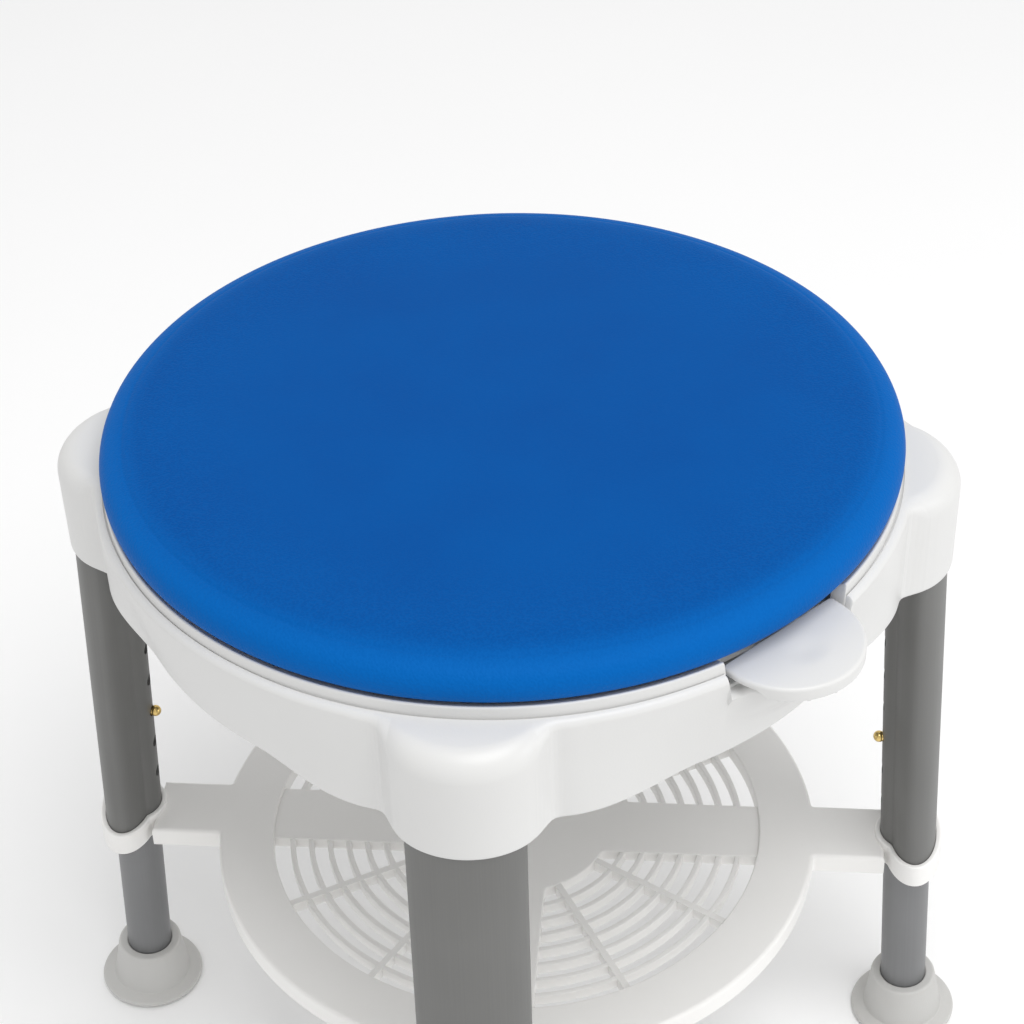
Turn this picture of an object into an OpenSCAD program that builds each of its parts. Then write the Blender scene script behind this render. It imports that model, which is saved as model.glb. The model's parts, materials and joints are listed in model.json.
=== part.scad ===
// Rotating shower stool with a padded swivel seat, a lock lever, a storage tray
// and four legs that telescope on snap buttons.
// Millimetres, +Z up, origin on the floor under the seat's turning axis.
// The front leg stands on -Y, the right leg on +X.

/* [Seat] */
// Diameter of the round pad
pad_d = 390; // [370:2:396]
// Height of the pad's underside above the floor
pad_z = 400.5; // [400.5:0.5:402]
// Thickness of the pad
pad_t = 23.5; // [18:0.5:32]

/* [Frame] */
// Diameter of the frame's round skirt
skirt_d = 388; // [386:1:392]
// Height of the skirt's lower edge above the floor
skirt_z = 340; // [330:1:346]
// How far the leg sockets reach from the centre
socket_reach = 223.5; // [222:0.5:228]
// Half the width of a leg socket
socket_half_w = 38; // [34:1:42]

/* [Legs] */
// Distance from the centre to a leg's axis at floor level
leg_base_r = 223.6; // [222:0.2:225]
// Outward lean of the legs, in degrees
splay = 3; // [2.8:0.1:3.2]
// Outer diameter of the round inner tube
inner_d = 25.4; // [24:0.1:26]
// Width of the oval upper tube across the leg
upper_w = 54; // [50:1:56]
// Distance between two height holes
hole_pitch = 22.5; // [20:0.5:23]
// Height holes above the one in use
holes_above = 4; // [2:1:4]
// Height holes below the one in use
holes_below = 2; // [0:1:2]
// Diameter of a rubber foot's flange
foot_d = 59.4; // [52:0.2:66]

/* [Tray] */
// Height of the tray's top face above the floor
tray_z = 141; // [138:1:142]
// Outer radius of the tray's rim
tray_r = 165.5; // [160:0.5:172]
// Inner radius of the tray's rim
grille_r = 135.2; // [128:0.2:140]
// Radius of the plain disc in the middle
hub_r = 53; // [45:1:60]
// Number of ring slats
slats = 7; // [5:1:8]
// Width of the arms and cross bars
arm_w = 39; // [34:1:42]

/* [Lever] */
// Direction of the lock lever, in degrees from +X
lever_angle = -44; // [-50:1:-40]
// Half the width of the lever's paddle
paddle_r = 35; // [34:0.5:38]

/* [Hidden] */
$fn = 96;
eps = 0.01;
front = 0;
right = 1;
back = 2;
left = 3;
leg_sides = [front, right, back, left];

// Levels of the seat and the frame
board_t = 4;
board_r = 176;
pad_edge_r = pad_t / 2;
plate_top_z = pad_z;
plate_r = 183;
plate_t = 3;
plate_low_z = 391;
deck_top_z = 386;
deck_t = 3;
cover_top_z = 396;
cover_t = 3.2;
ridge_top_z = 399.5;
ridge_r = skirt_d / 2 + 1.5;
ridge_w = 8.5;
well_r = ridge_r - ridge_w;
wall_t = 3.2;
rib_t = 3;
rib_low_z = 352;

// Pivot
bolt_r = 6;
bolt_bore_r = 6.05;
bush_r = 9;
bush_flange_r = 13;
hub_post_r = 24;
hub_low_z = 358;
bolt_head_r = 13;
bolt_head_z = 396;

// Glide pads
pad_ring_r = 132;
glide_r = 8;
glide_count = 8;

// Lock lever, measured along the lever's own radius
lever_pin_u = 108;
lever_pin_z = 378;
lever_pin_r = 2.5;
lever_arm_w = 26;
bay_w = 32;
pawl_u = 170;
pawl_l = 10;
pawl_w = 16;
pawl_gap = 0.5;
notch_clear = 2.5;
paddle_u = 191;
paddle_in_u = 185.2;
paddle_z = 391.5;
paddle_t = 4;
lip_t = 2.5;
lip_z = 388;
spring_u = 148;
spring_r = 5;
spring_wire_r = 0.8;
spring_turns = 5;

// Leg section, measured from the inner tube's axis, outwards positive
nose_r = inner_d / 2 + 2.1;
tube_wall = 1.8;
lens_u = 2.5;
lens_a = 12.7;
lens_b = upper_w / 2;
inner_wall = 1.5;
bush_bore_r = inner_d / 2 + 0.05;
upper_low_l = 131;
upper_top_l = 391;
bush_l = 24;
inner_low_l = 7;
inner_top_l = 296;
button_l = 215.5;
button_r = 2.6;
button_head_r = 3.1;
button_head_u = -16.6;
hole_r = 3.4;
spring_leaf_w = 8;

// Tray
tray_skirt = 12;
tray_wall = 2.6;
bar_drop = 2.4;
slat_depth = 7;
slat_w = 3;
rib_w = 3.6;
collar_low_l = 130;
collar_top_l = 146.4;
collar_wall = 3.8;
collar_clear = 0.1;

// ---------- shared outlines ----------

// Distance to the edge of an oval lobe seen from the centre, at angle a off its axis
function lobe_reach(a, reach, half_w, centre) =
    let (la = reach - centre,
         qa = pow(cos(a) / la, 2) + pow(sin(a) / half_w, 2),
         qb = -2 * centre * cos(a) / (la * la),
         qc = centre * centre / (la * la) - 1,
         disc = qb * qb - 4 * qa * qc)
    (abs(a) > 60 || disc < 0) ? 0 : (-qb + sqrt(disc)) / (2 * qa);

// The larger of two numbers with a rounded change-over k wide
function soft_max(a, b, k) =
    let (h = max(0, k - abs(a - b)) / k) max(a, b) + h * h * k / 4;

// Angle folded to the range -45 to 45, so all four legs share one rule
function fold_angle(a) = ((a + 45) % 90 + 90) % 90 - 45;

// Radius of the frame's plan outline at angle a, moved inwards by inset
function frame_radius(a, inset) =
    soft_max(skirt_d / 2 - inset,
             lobe_reach(fold_angle(a), socket_reach - inset, socket_half_w - inset,
                        skirt_d / 2 - 2), 6);

module frame_outline(inset = 0) {
    step = 2;
    polygon([for (a = [0 : step : 360 - step])
        frame_radius(a, inset) * [cos(a), sin(a)]]);
}

// Oval of the upper tube with its round nose, grown by d on every side
module leg_section(d = 0) {
    circle(r = nose_r + d);
    translate([0, -lens_u])
        polygon([for (a = [0 : 7.5 : 352.5])
            [(lens_b + d) * cos(a), (lens_a + d) * sin(a)]]);
}

// Puts children, drawn along the leg's own axis, at one of the four legs
module at_leg(side) {
    rotate([0, 0, 90 * side])
        translate([0, -leg_base_r, 0])
            rotate([-splay, 0, 0])
                children();
}

// Puts children, drawn along +X, on the lever's radius
module at_lever() {
    rotate([0, 0, lever_angle]) children();
}

// ---------- seat, which swivels ----------

module pad_shape() {
    rotate_extrude() {
        square([pad_d / 2 - pad_edge_r, pad_t]);
        translate([pad_d / 2 - pad_edge_r, pad_edge_r])
            intersection() {
                circle(r = pad_edge_r);
                translate([-pad_edge_r / 2, -pad_edge_r])
                    square([2 * pad_edge_r, 2 * pad_edge_r]);
            }
    }
}

module seat_cushion() {
    color("#0a4fa0")
        difference() {
            translate([0, 0, pad_z]) pad_shape();
            translate([0, 0, pad_z - 1]) cylinder(r = board_r, h = board_t + 1);
        }
}

module cushion_board() {
    color("burlywood")
        translate([0, 0, pad_z])
            difference() {
                cylinder(r = board_r, h = board_t);
                translate([0, 0, -1]) cylinder(r = bolt_head_r + 5, h = board_t + 2);
                for (a = [45 : 90 : 315])
                    rotate([0, 0, a]) translate([100, 0, -1])
                        cylinder(r = 1.6, h = board_t + 2, $fn = 24);
            }
}

module cushion_screws() {
    color("silver")
        for (a = [45 : 90 : 315])
            rotate([0, 0, a]) translate([100, 0, 0]) {
                translate([0, 0, pad_z - plate_t - 2.4]) cylinder(r = 4, h = 2.4, $fn = 32);
                translate([0, 0, pad_z - plate_t - 0.1])
                    cylinder(r = 1.6, h = plate_t + board_t - 0.4, $fn = 24);
            }
}

module seat_plate() {
    track_w = 16;
    color("white")
        difference() {
            union() {
                translate([0, 0, plate_top_z - plate_t]) cylinder(r = plate_r, h = plate_t);
                translate([0, 0, plate_low_z])
                    difference() {
                        cylinder(r = plate_r, h = plate_top_z - plate_low_z - eps);
                        translate([0, 0, -1]) cylinder(r = plate_r - 18, h = 20);
                    }
                translate([0, 0, plate_low_z - 1])
                    difference() {
                        cylinder(r = pad_ring_r + track_w / 2,
                                 h = plate_top_z - plate_low_z);
                        translate([0, 0, -1]) cylinder(r = pad_ring_r - track_w / 2, h = 20);
                    }
                translate([0, 0, deck_top_z + 3])
                    cylinder(r = 26, h = plate_top_z - deck_top_z - 3 - eps);
                for (a = [0 : 30 : 330])
                    rotate([0, 0, a])
                        translate([25, -1.25, plate_low_z + 1])
                            cube([plate_r - 40, 2.5, plate_top_z - plate_low_z - 2]);
            }
            // seat of the pivot bush and the bolt's head
            translate([0, 0, deck_top_z]) cylinder(r = bush_r, h = 30);
            translate([0, 0, bolt_head_z - 1.6]) cylinder(r = bolt_head_r + 2, h = 20);
            // four notches, one every quarter turn, for the lever's tooth
            for (a = [0 : 90 : 270])
                rotate([0, 0, lever_angle + a])
                    translate([pawl_u - notch_clear, -pawl_w / 2 - notch_clear, plate_low_z - 1])
                        cube([pawl_l + 2 * notch_clear, pawl_w + 2 * notch_clear, 6]);
            for (a = [45 : 90 : 315])
                rotate([0, 0, a]) translate([100, 0, plate_low_z])
                    cylinder(r = 1.7, h = 20, $fn = 24);
        }
}

module pivot_bush() {
    color("ivory")
        translate([0, 0, deck_top_z + 1.2])
            difference() {
                union() {
                    cylinder(r = bush_r - 0.02, h = 7.1);
                    cylinder(r = bush_flange_r, h = 1.8);
                }
                translate([0, 0, -1]) cylinder(r = bolt_bore_r, h = 12);
            }
}

// ---------- pivot hardware, fixed in the frame ----------

module pivot_bolt() {
    color("silver") {
        translate([0, 0, hub_low_z - 15])
            cylinder(r = bolt_r, h = bolt_head_z - hub_low_z + 15 + eps);
        translate([0, 0, bolt_head_z]) cylinder(r = bolt_head_r, h = 3.5);
    }
}

module pivot_washer() {
    color("silver")
        translate([0, 0, hub_low_z - 2])
            difference() {
                cylinder(r = 14, h = 2);
                translate([0, 0, -1]) cylinder(r = bolt_bore_r, h = 4);
            }
}

module pivot_nut() {
    color("silver")
        translate([0, 0, hub_low_z - 12.5])
            difference() {
                cylinder(r = 10.8, h = 10.5, $fn = 6);
                translate([0, 0, -1]) cylinder(r = bolt_bore_r, h = 13);
            }
}

module glide_pads() {
    color("ivory")
        for (i = [0 : glide_count - 1])
            rotate([0, 0, (i + 0.5) * 360 / glide_count])
                translate([pad_ring_r, 0, deck_top_z - 2]) {
                    cylinder(r = glide_r, h = plate_low_z - deck_top_z + 0.9, $fn = 48);
                    translate([0, 0, -4]) cylinder(r = 3, h = 4.1, $fn = 32);
                }
}

// ---------- moulded frame ----------

module frame_shell() {
    // skirt with the four sockets' outer walls
    translate([0, 0, skirt_z])
        linear_extrude(height = cover_top_z - skirt_z)
            difference() {
                frame_outline();
                frame_outline(wall_t);
            }
    // shoulder over the sockets
    translate([0, 0, cover_top_z - cover_t])
        linear_extrude(height = cover_t)
            difference() {
                frame_outline(wall_t / 2);
                circle(r = well_r + 1);
            }
    // raised ridge round the seat, and the well's wall inside it
    rotate_extrude() {
        translate([well_r, cover_top_z - cover_t])
            square([ridge_w, ridge_top_z - cover_top_z + cover_t - 2]);
        translate([well_r + 2, ridge_top_z - 2]) circle(r = 2, $fn = 24);
        translate([ridge_r - 2, ridge_top_z - 2]) circle(r = 2, $fn = 24);
        translate([well_r + 2, ridge_top_z - 2]) square([ridge_w - 4, 2]);
        translate([well_r, deck_top_z - deck_t])
            square([wall_t, cover_top_z - deck_top_z + deck_t - 1]);
    }
}

module frame_deck() {
    window_in = 44;
    window_out = 112;
    difference() {
        translate([0, 0, deck_top_z - deck_t]) cylinder(r = well_r + 1, h = deck_t);
        for (a = [0 : 45 : 315])
            rotate([0, 0, a])
                translate([0, 0, deck_top_z - deck_t - 1])
                    linear_extrude(height = deck_t + 2)
                        polygon([[window_in, -window_in * tan(22.5) + 9],
                                 [window_in, window_in * tan(22.5) - 9],
                                 [window_out, window_out * tan(22.5) - 18],
                                 [window_out, -window_out * tan(22.5) + 18]]);
    }
    translate([0, 0, hub_low_z]) cylinder(r = hub_post_r, h = deck_top_z - hub_low_z);
    // webs from the hub to the skirt
    for (i = [0 : 7])
        rotate([0, 0, 22.5 + 45 * i])
            translate([hub_post_r - 2, -rib_t / 2, rib_low_z])
                cube([skirt_d / 2 - hub_post_r, rib_t, deck_top_z - rib_low_z - 1]);
    // ring web under the glide pads
    translate([0, 0, rib_low_z + 8])
        difference() {
            cylinder(r = pad_ring_r + 2, h = deck_top_z - rib_low_z - 9);
            translate([0, 0, -1]) cylinder(r = pad_ring_r - 2, h = 40);
        }
}

module leg_sockets() {
    sleeve = 3;
    for (side = leg_sides)
        intersection() {
            at_leg(side)
                translate([0, 0, skirt_z + 4])
                    linear_extrude(height = 60) leg_section(sleeve);
            translate([0, 0, skirt_z + 3])
                linear_extrude(height = cover_top_z - skirt_z - 4) frame_outline(wall_t / 2);
        }
}

module lever_bay_walls() {
    at_lever() {
        for (s = [-1, 1])
            translate([lever_pin_u - 12, s * (bay_w / 2 + rib_t / 2) - rib_t / 2, rib_low_z + 8])
                cube([skirt_d / 2 - lever_pin_u + 10, rib_t, deck_top_z - rib_low_z - 9]);
        // shelf that the spring stands on
        translate([spring_u - 10, -bay_w / 2 - 1, rib_low_z + 8])
            cube([20, bay_w + 2, 3]);
        translate([lever_pin_u - 14, -bay_w / 2 - 1, rib_low_z + 8])
            cube([rib_t, bay_w + 2, deck_top_z - rib_low_z - 9]);
        // bulge of the skirt under the paddle
        intersection() {
            translate([skirt_d / 2 - 22, 0, 0])
                rotate_extrude()
                    polygon([[0, skirt_z + 10], [20, skirt_z + 10], [35, deck_top_z - 10],
                             [35, deck_top_z - 6], [30, deck_top_z - 1], [0, deck_top_z - 1]]);
            translate([skirt_d / 2 - 4, -40, skirt_z]) cube([20, 80, 60]);
        }
    }
}

module lever_cuts() {
    at_lever() {
        // gap in the ridge and shoulder where the paddle lies
        translate([well_r - 6, -paddle_r - 0.8, deck_top_z])
            cube([60, 2 * paddle_r + 1.6, 20]);
        // bay for the lever's arm and the bore of its pin
        translate([lever_pin_u - 11, -bay_w / 2, rib_low_z + 11])
            cube([well_r + 15 - lever_pin_u, bay_w, 40]);
        translate([lever_pin_u, 0, lever_pin_z])
            rotate([90, 0, 0]) cylinder(r = lever_pin_r, h = 60, center = true);
    }
}

module seat_frame() {
    color("white")
        difference() {
            union() {
                frame_shell();
                frame_deck();
                leg_sockets();
                lever_bay_walls();
            }
            lever_cuts();
            // bore of the pivot bolt
            translate([0, 0, hub_low_z - 1]) cylinder(r = bolt_bore_r, h = 60);
            // pockets of the glide pads
            for (i = [0 : glide_count - 1])
                rotate([0, 0, (i + 0.5) * 360 / glide_count])
                    translate([pad_ring_r, 0, deck_top_z - 6])
                        cylinder(r = 3, h = 5, $fn = 32);
            for (i = [0 : glide_count - 1])
                rotate([0, 0, (i + 0.5) * 360 / glide_count])
                    translate([pad_ring_r, 0, deck_top_z - 2])
                        cylinder(r = glide_r, h = 5, $fn = 48);
            // the upper tubes' mouths and the screws that hold them
            for (side = leg_sides)
                at_leg(side) {
                    translate([0, 0, skirt_z - 10])
                        linear_extrude(height = upper_top_l - skirt_z + 10) leg_section();
                    for (l = [355, 375])
                        translate([0, nose_r - 4, l])
                            rotate([-90, 0, 0]) cylinder(r = 2, h = 14, $fn = 24);
                }
        }
}

module socket_screws() {
    color("silver")
        for (side = leg_sides)
            at_leg(side)
                for (l = [355, 375])
                    translate([0, nose_r - 1.5, l])
                        rotate([-90, 0, 0]) {
                            cylinder(r = 1.9, h = 5, $fn = 24);
                            translate([0, 0, 4.6]) cylinder(r = 3.6, h = 2.2, $fn = 32);
                        }
}

// ---------- lock lever ----------

// Paddle's plan: straight at the seat, half-round outside, moved inwards by inset
module paddle_plan(inset = 0) {
    polygon(concat(
        [[paddle_in_u, -paddle_r + inset]],
        [for (a = [-90 : 5 : 90]) [paddle_u, 0] + (paddle_r - inset) * [cos(a), sin(a)]],
        [[paddle_in_u, paddle_r - inset]]));
}

module lock_lever() {
    color("white")
        at_lever()
            difference() {
                union() {
                    // paddle with its turned-down lip
                    translate([0, 0, paddle_z])
                        linear_extrude(height = paddle_t) paddle_plan();
                    translate([0, 0, lip_z])
                        linear_extrude(height = paddle_z - lip_z + 1)
                            difference() {
                                paddle_plan();
                                paddle_plan(lip_t);
                                translate([0, -50]) square([paddle_u + 16, 100]);
                            }
                    // arm, tooth and barrel
                    translate([lever_pin_u, -lever_arm_w / 2, lever_pin_z - 3])
                        cube([paddle_in_u + 2.5 - lever_pin_u, lever_arm_w, 6]);
                    translate([paddle_in_u, -lever_arm_w / 2, lever_pin_z - 3])
                        cube([3.4, lever_arm_w, paddle_z - lever_pin_z + 4]);
                    translate([pawl_u, -pawl_w / 2, lever_pin_z])
                        cube([pawl_l, pawl_w, plate_low_z - pawl_gap - lever_pin_z]);
                    translate([lever_pin_u, 0, lever_pin_z])
                        rotate([90, 0, 0])
                            cylinder(r = 6, h = lever_arm_w, center = true);
                }
                translate([lever_pin_u, 0, lever_pin_z])
                    rotate([90, 0, 0])
                        cylinder(r = lever_pin_r + 0.06, h = 60, center = true);
                // thumb rest
                translate([paddle_u + 13, 0, paddle_z + paddle_t + 34])
                    sphere(r = 36);
                // seat of the spring
                translate([spring_u, 0, lever_pin_z - 4]) cylinder(r = spring_r + 1.5, h = 2.6);
            }
}

module lever_pin() {
    pin_l = bay_w + 2 * rib_t;
    color("silver")
        at_lever()
            translate([lever_pin_u, 0, lever_pin_z])
                rotate([90, 0, 0]) cylinder(r = lever_pin_r, h = pin_l, center = true);
}

// Round wire swept along a helix by hand-made rings of points
function spring_path(t, r, z0, z1) = [r * cos(360 * spring_turns * t),
                                      r * sin(360 * spring_turns * t), z0 + (z1 - z0) * t];

module lever_spring() {
    sides = 8;
    steps = spring_turns * 14;
    z0 = rib_low_z + 11 + spring_wire_r;
    z1 = lever_pin_z - 1.4 - spring_wire_r;
    points = [for (i = [0 : steps], j = [0 : sides - 1])
        let (p = spring_path(i / steps, spring_r, z0, z1),
             a = 360 * spring_turns * i / steps,
             b = 360 * j / sides)
        p + spring_wire_r * [cos(b) * cos(a), cos(b) * sin(a), sin(b)]];
    walls = [for (i = [0 : steps - 1], j = [0 : sides - 1])
        let (k = (j + 1) % sides)
        [i * sides + j, i * sides + k, (i + 1) * sides + k, (i + 1) * sides + j]];
    ends = [[for (j = [sides - 1 : -1 : 0]) j],
            [for (j = [0 : sides - 1]) steps * sides + j]];
    color("silver")
        at_lever() translate([spring_u, 0, 0]) polyhedron(points, concat(walls, ends));
}

// ---------- storage tray ----------

module tray_bars() {
    reach = leg_base_r - 20;
    for (a = [0, 90])
        rotate([0, 0, a]) {
            // arms outside the rim, with turned-down sides
            for (s = [0, 180])
                rotate([0, 0, s]) {
                    translate([tray_r - 6, -arm_w / 2, tray_z - tray_wall])
                        cube([reach - tray_r + 6, arm_w, tray_wall]);
                    for (side = [-1, 1])
                        translate([tray_r - 2, side * (arm_w - tray_wall) / 2 - tray_wall / 2,
                                   tray_z - tray_skirt])
                            cube([reach - tray_r + 2, tray_wall, tray_skirt]);
                }
            // cross bars inside the rim
            translate([-grille_r - 2, -arm_w / 2, tray_z - bar_drop - tray_wall])
                cube([2 * grille_r + 4, arm_w, tray_wall]);
            for (side = [-1, 1])
                translate([-grille_r - 2, side * (arm_w - tray_wall) / 2 - tray_wall / 2,
                           tray_z - bar_drop - slat_depth])
                    cube([2 * grille_r + 4, tray_wall, slat_depth]);
        }
}

module tray_rings() {
    pitch = (grille_r - hub_r) / (slats + 1);
    slat_top = tray_z - bar_drop;
    rotate_extrude() {
        // rim: flat top, rounded outer edge, turned-down sides
        translate([grille_r, tray_z - tray_wall]) square([tray_r - grille_r - 3, tray_wall]);
        translate([grille_r, tray_z - bar_drop - slat_depth])
            square([tray_wall, slat_depth + bar_drop]);
        translate([tray_r - 4, tray_z - 4])
            difference() {
                circle(r = 4, $fn = 32);
                circle(r = 4 - tray_wall, $fn = 32);
                translate([-5, -5]) square([5, 10]);
                translate([-5, -5]) square([10, 5]);
            }
        translate([tray_r - 4.5, tray_z - tray_wall]) square([0.6, tray_wall]);
        translate([tray_r - tray_wall, tray_z - tray_skirt]) square([tray_wall, tray_skirt - 3.9]);
        // plain disc in the middle
        translate([0, slat_top - tray_wall]) square([hub_r, tray_wall]);
        translate([hub_r - tray_wall, slat_top - slat_depth]) square([tray_wall, slat_depth]);
        // ring slats
        for (i = [1 : slats])
            translate([hub_r + i * pitch - slat_w / 2, slat_top - slat_depth])
                square([slat_w, slat_depth - 0.6]);
    }
}

module storage_tray() {
    color("white")
        difference() {
            union() {
                tray_rings();
                tray_bars();
                // two ribs across the slats in each quarter
                for (q = [0 : 3], a = [30, 60])
                    rotate([0, 0, 90 * q + a])
                        translate([hub_r - 1, -rib_w / 2, tray_z - bar_drop - slat_depth])
                            cube([grille_r - hub_r + 2, rib_w, slat_depth - 0.4]);
                // collars round the upper tubes
                for (side = leg_sides)
                    at_leg(side)
                        translate([0, 0, collar_low_l])
                            linear_extrude(height = collar_top_l - collar_low_l)
                                leg_section(collar_wall);
            }
            for (side = leg_sides)
                at_leg(side)
                    translate([0, 0, collar_low_l - 10])
                        linear_extrude(height = 40) leg_section(collar_clear);
        }
}

// ---------- legs ----------

module upper_tube(side) {
    color("#8c8e90")
        at_leg(side)
            difference() {
                translate([0, 0, upper_low_l])
                    linear_extrude(height = upper_top_l - upper_low_l)
                        difference() {
                            leg_section();
                            leg_section(-tube_wall);
                        }
                for (i = [-holes_below : holes_above])
                    translate([0, nose_r - 6, button_l + i * hole_pitch])
                        rotate([-90, 0, 0]) cylinder(r = hole_r, h = 12, $fn = 32);
                for (l = [355, 375])
                    translate([0, nose_r - 5, l])
                        rotate([-90, 0, 0]) cylinder(r = 1.9, h = 8, $fn = 24);
            }
}

module tube_bush(side) {
    color("#5c5e60")
        at_leg(side)
            difference() {
                union() {
                    translate([0, 0, upper_low_l])
                        linear_extrude(height = bush_l)
                            difference() {
                                leg_section(-tube_wall);
                                translate([-20, 7]) square([40, 20]);
                            }
                    translate([0, 0, upper_low_l - 2.5])
                        linear_extrude(height = 2.5) leg_section(-0.3);
                }
                translate([0, 0, upper_low_l - 5]) cylinder(r = bush_bore_r, h = bush_l + 10);
            }
}

module inner_tube(side) {
    color("#7e8184")
        at_leg(side)
            difference() {
                translate([0, 0, inner_low_l])
                    cylinder(d = inner_d, h = inner_top_l - inner_low_l);
                translate([0, 0, inner_low_l - 1])
                    cylinder(d = inner_d - 2 * inner_wall, h = inner_top_l);
                translate([0, inner_d / 2 - 4, button_l])
                    rotate([-90, 0, 0]) cylinder(r = hole_r, h = 8, $fn = 32);
            }
}

module rubber_foot(side) {
    foot_h = 31;
    bore_r = inner_d / 2;
    color("gainsboro")
        intersection() {
            at_leg(side)
                rotate_extrude()
                    difference() {
                        union() {
                            translate([0, -4]) square([foot_d / 2 - 2.5, 9.5]);
                            translate([foot_d / 2 - 2.5, 3]) circle(r = 2.5, $fn = 24);
                            translate([0, -4]) square([foot_d / 2, 7]);
                            polygon([[0, 0], [22, 5], [21.2, 8], [18.6, 26], [17.9, foot_h - 2],
                                     [0, foot_h - 2]]);
                            translate([bore_r + 2.6, foot_h - 2.6]) circle(r = 2.6, $fn = 24);
                        }
                        translate([0, inner_low_l]) square([bore_r, 40]);
                        translate([-100, -50]) square([100, 200]);
                    }
            translate([-300, -300, 0]) cube([600, 600, 60]);
        }
}

// Brass ball on a stem, with the strip of leaf that it is riveted to
module snap_button(side) {
    leaf_u = 9.4;
    color("goldenrod")
        at_leg(side)
            translate([0, 0, button_l]) {
                translate([0, leaf_u, 0])
                    rotate([-90, 0, 0])
                        cylinder(r = button_r, h = -button_head_u - leaf_u, $fn = 32);
                translate([0, -button_head_u, 0]) sphere(r = button_head_r, $fn = 32);
                translate([-spring_leaf_w / 2, leaf_u - 0.2, -11])
                    cube([spring_leaf_w, 0.8, 22]);
            }
}

// Far side of the leaf spring and the bend that joins it to the button's strip
module button_spring(side) {
    far_u = -9.4;
    color("silver")
        at_leg(side)
            translate([-spring_leaf_w / 2, 0, button_l]) {
                translate([0, far_u, -20]) cube([spring_leaf_w, 0.8, 36]);
                translate([0, far_u, 15.2]) cube([spring_leaf_w, 11, 0.8]);
                translate([0, far_u + 10.2, 12.5]) cube([spring_leaf_w, 0.8, 3.5]);
            }
}

seat_cushion();
cushion_board();
cushion_screws();
seat_plate();
pivot_bush();
pivot_bolt();
pivot_washer();
pivot_nut();
glide_pads();
seat_frame();
socket_screws();
lock_lever();
lever_pin();
lever_spring();
storage_tray();
upper_tube(front);  // upper_tube_front
upper_tube(right);  // upper_tube_right
upper_tube(back);  // upper_tube_back
upper_tube(left);  // upper_tube_left
tube_bush(front);  // tube_bush_front
tube_bush(right);  // tube_bush_right
tube_bush(back);  // tube_bush_back
tube_bush(left);  // tube_bush_left
inner_tube(front);  // inner_tube_front
inner_tube(right);  // inner_tube_right
inner_tube(back);  // inner_tube_back
inner_tube(left);  // inner_tube_left
rubber_foot(front);  // rubber_foot_front
rubber_foot(right);  // rubber_foot_right
rubber_foot(back);  // rubber_foot_back
rubber_foot(left);  // rubber_foot_left
snap_button(front);  // snap_button_front
snap_button(right);  // snap_button_right
snap_button(back);  // snap_button_back
snap_button(left);  // snap_button_left
button_spring(front);  // button_spring_front
button_spring(right);  // button_spring_right
button_spring(back);  // button_spring_back
button_spring(left);  // button_spring_left
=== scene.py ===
# %% [markdown]
# # A rotating shower stool
# The stool has a round padded seat that turns on a moulded frame, a lock lever, four legs that
# telescope on snap buttons, and an open tray that ties the legs together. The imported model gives
# every size and place. This lesson dresses it: finer meshes where the real moulding is rounded,
# a pad blown up by a cloth simulation, and a finish for each material.

# %% Load the frame
import json
import math

import bmesh
import bpy
from mathutils import Matrix, Vector
from mathutils.bvhtree import BVHTree


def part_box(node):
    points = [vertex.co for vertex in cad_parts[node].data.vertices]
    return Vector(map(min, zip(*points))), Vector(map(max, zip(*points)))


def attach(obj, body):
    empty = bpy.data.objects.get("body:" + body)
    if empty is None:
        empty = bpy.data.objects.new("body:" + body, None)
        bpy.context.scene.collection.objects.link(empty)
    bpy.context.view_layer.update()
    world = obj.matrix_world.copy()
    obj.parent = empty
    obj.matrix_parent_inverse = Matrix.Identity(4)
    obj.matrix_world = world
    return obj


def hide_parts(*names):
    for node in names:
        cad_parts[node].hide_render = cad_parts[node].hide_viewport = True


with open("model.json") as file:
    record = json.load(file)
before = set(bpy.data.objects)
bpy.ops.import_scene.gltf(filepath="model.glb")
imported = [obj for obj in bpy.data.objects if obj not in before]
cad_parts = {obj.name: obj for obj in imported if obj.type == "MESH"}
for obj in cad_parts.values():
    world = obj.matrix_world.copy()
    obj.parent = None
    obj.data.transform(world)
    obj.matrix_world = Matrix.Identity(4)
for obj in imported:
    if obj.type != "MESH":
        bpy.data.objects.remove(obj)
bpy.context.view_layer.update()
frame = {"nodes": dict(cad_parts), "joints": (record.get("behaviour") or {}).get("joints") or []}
MM = 0.001

# %% [markdown]
# ## The camera
# A camera comes early, because every choice after it is judged through it. This one looks down on
# the stool from about chest height with a long lens, so that the round seat stays nearly an
# ellipse and the legs hardly converge. Its three axes are written out as heading, tilt and roll.

# %% Camera
def placed(name, data):
    """A new object for the data, linked into the scene."""
    piece = bpy.data.objects.new(name, data)
    bpy.context.scene.collection.objects.link(piece)
    return piece


camera = placed("camera", bpy.data.cameras.new("camera"))
bpy.context.scene.camera = camera
camera.data.sensor_width = 36
camera.data.lens = 80.75
camera.data.clip_end = 50
HEADING, TILT, ROLL = 5.94, 37.48, 2.02
camera.matrix_world = (
    Matrix.Translation((0.0982, -0.9083, 1.0582))
    @ Matrix.Rotation(math.radians(HEADING), 4, "Z")
    @ Matrix.Rotation(math.radians(90 - TILT), 4, "X")
    @ Matrix.Rotation(math.radians(-ROLL), 4, "Z"))
print("camera looks down by", TILT, "degrees")

# %% [markdown]
# ## Writing node trees as sums
# Materials and Geometry Nodes are both graphs. Placing Math nodes by hand hides what is meant, so
# a small class wraps a socket: adding or multiplying two wires adds the Math node for it. Any
# other node comes from one method, which takes the node's type, its settings and its inputs.

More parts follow.
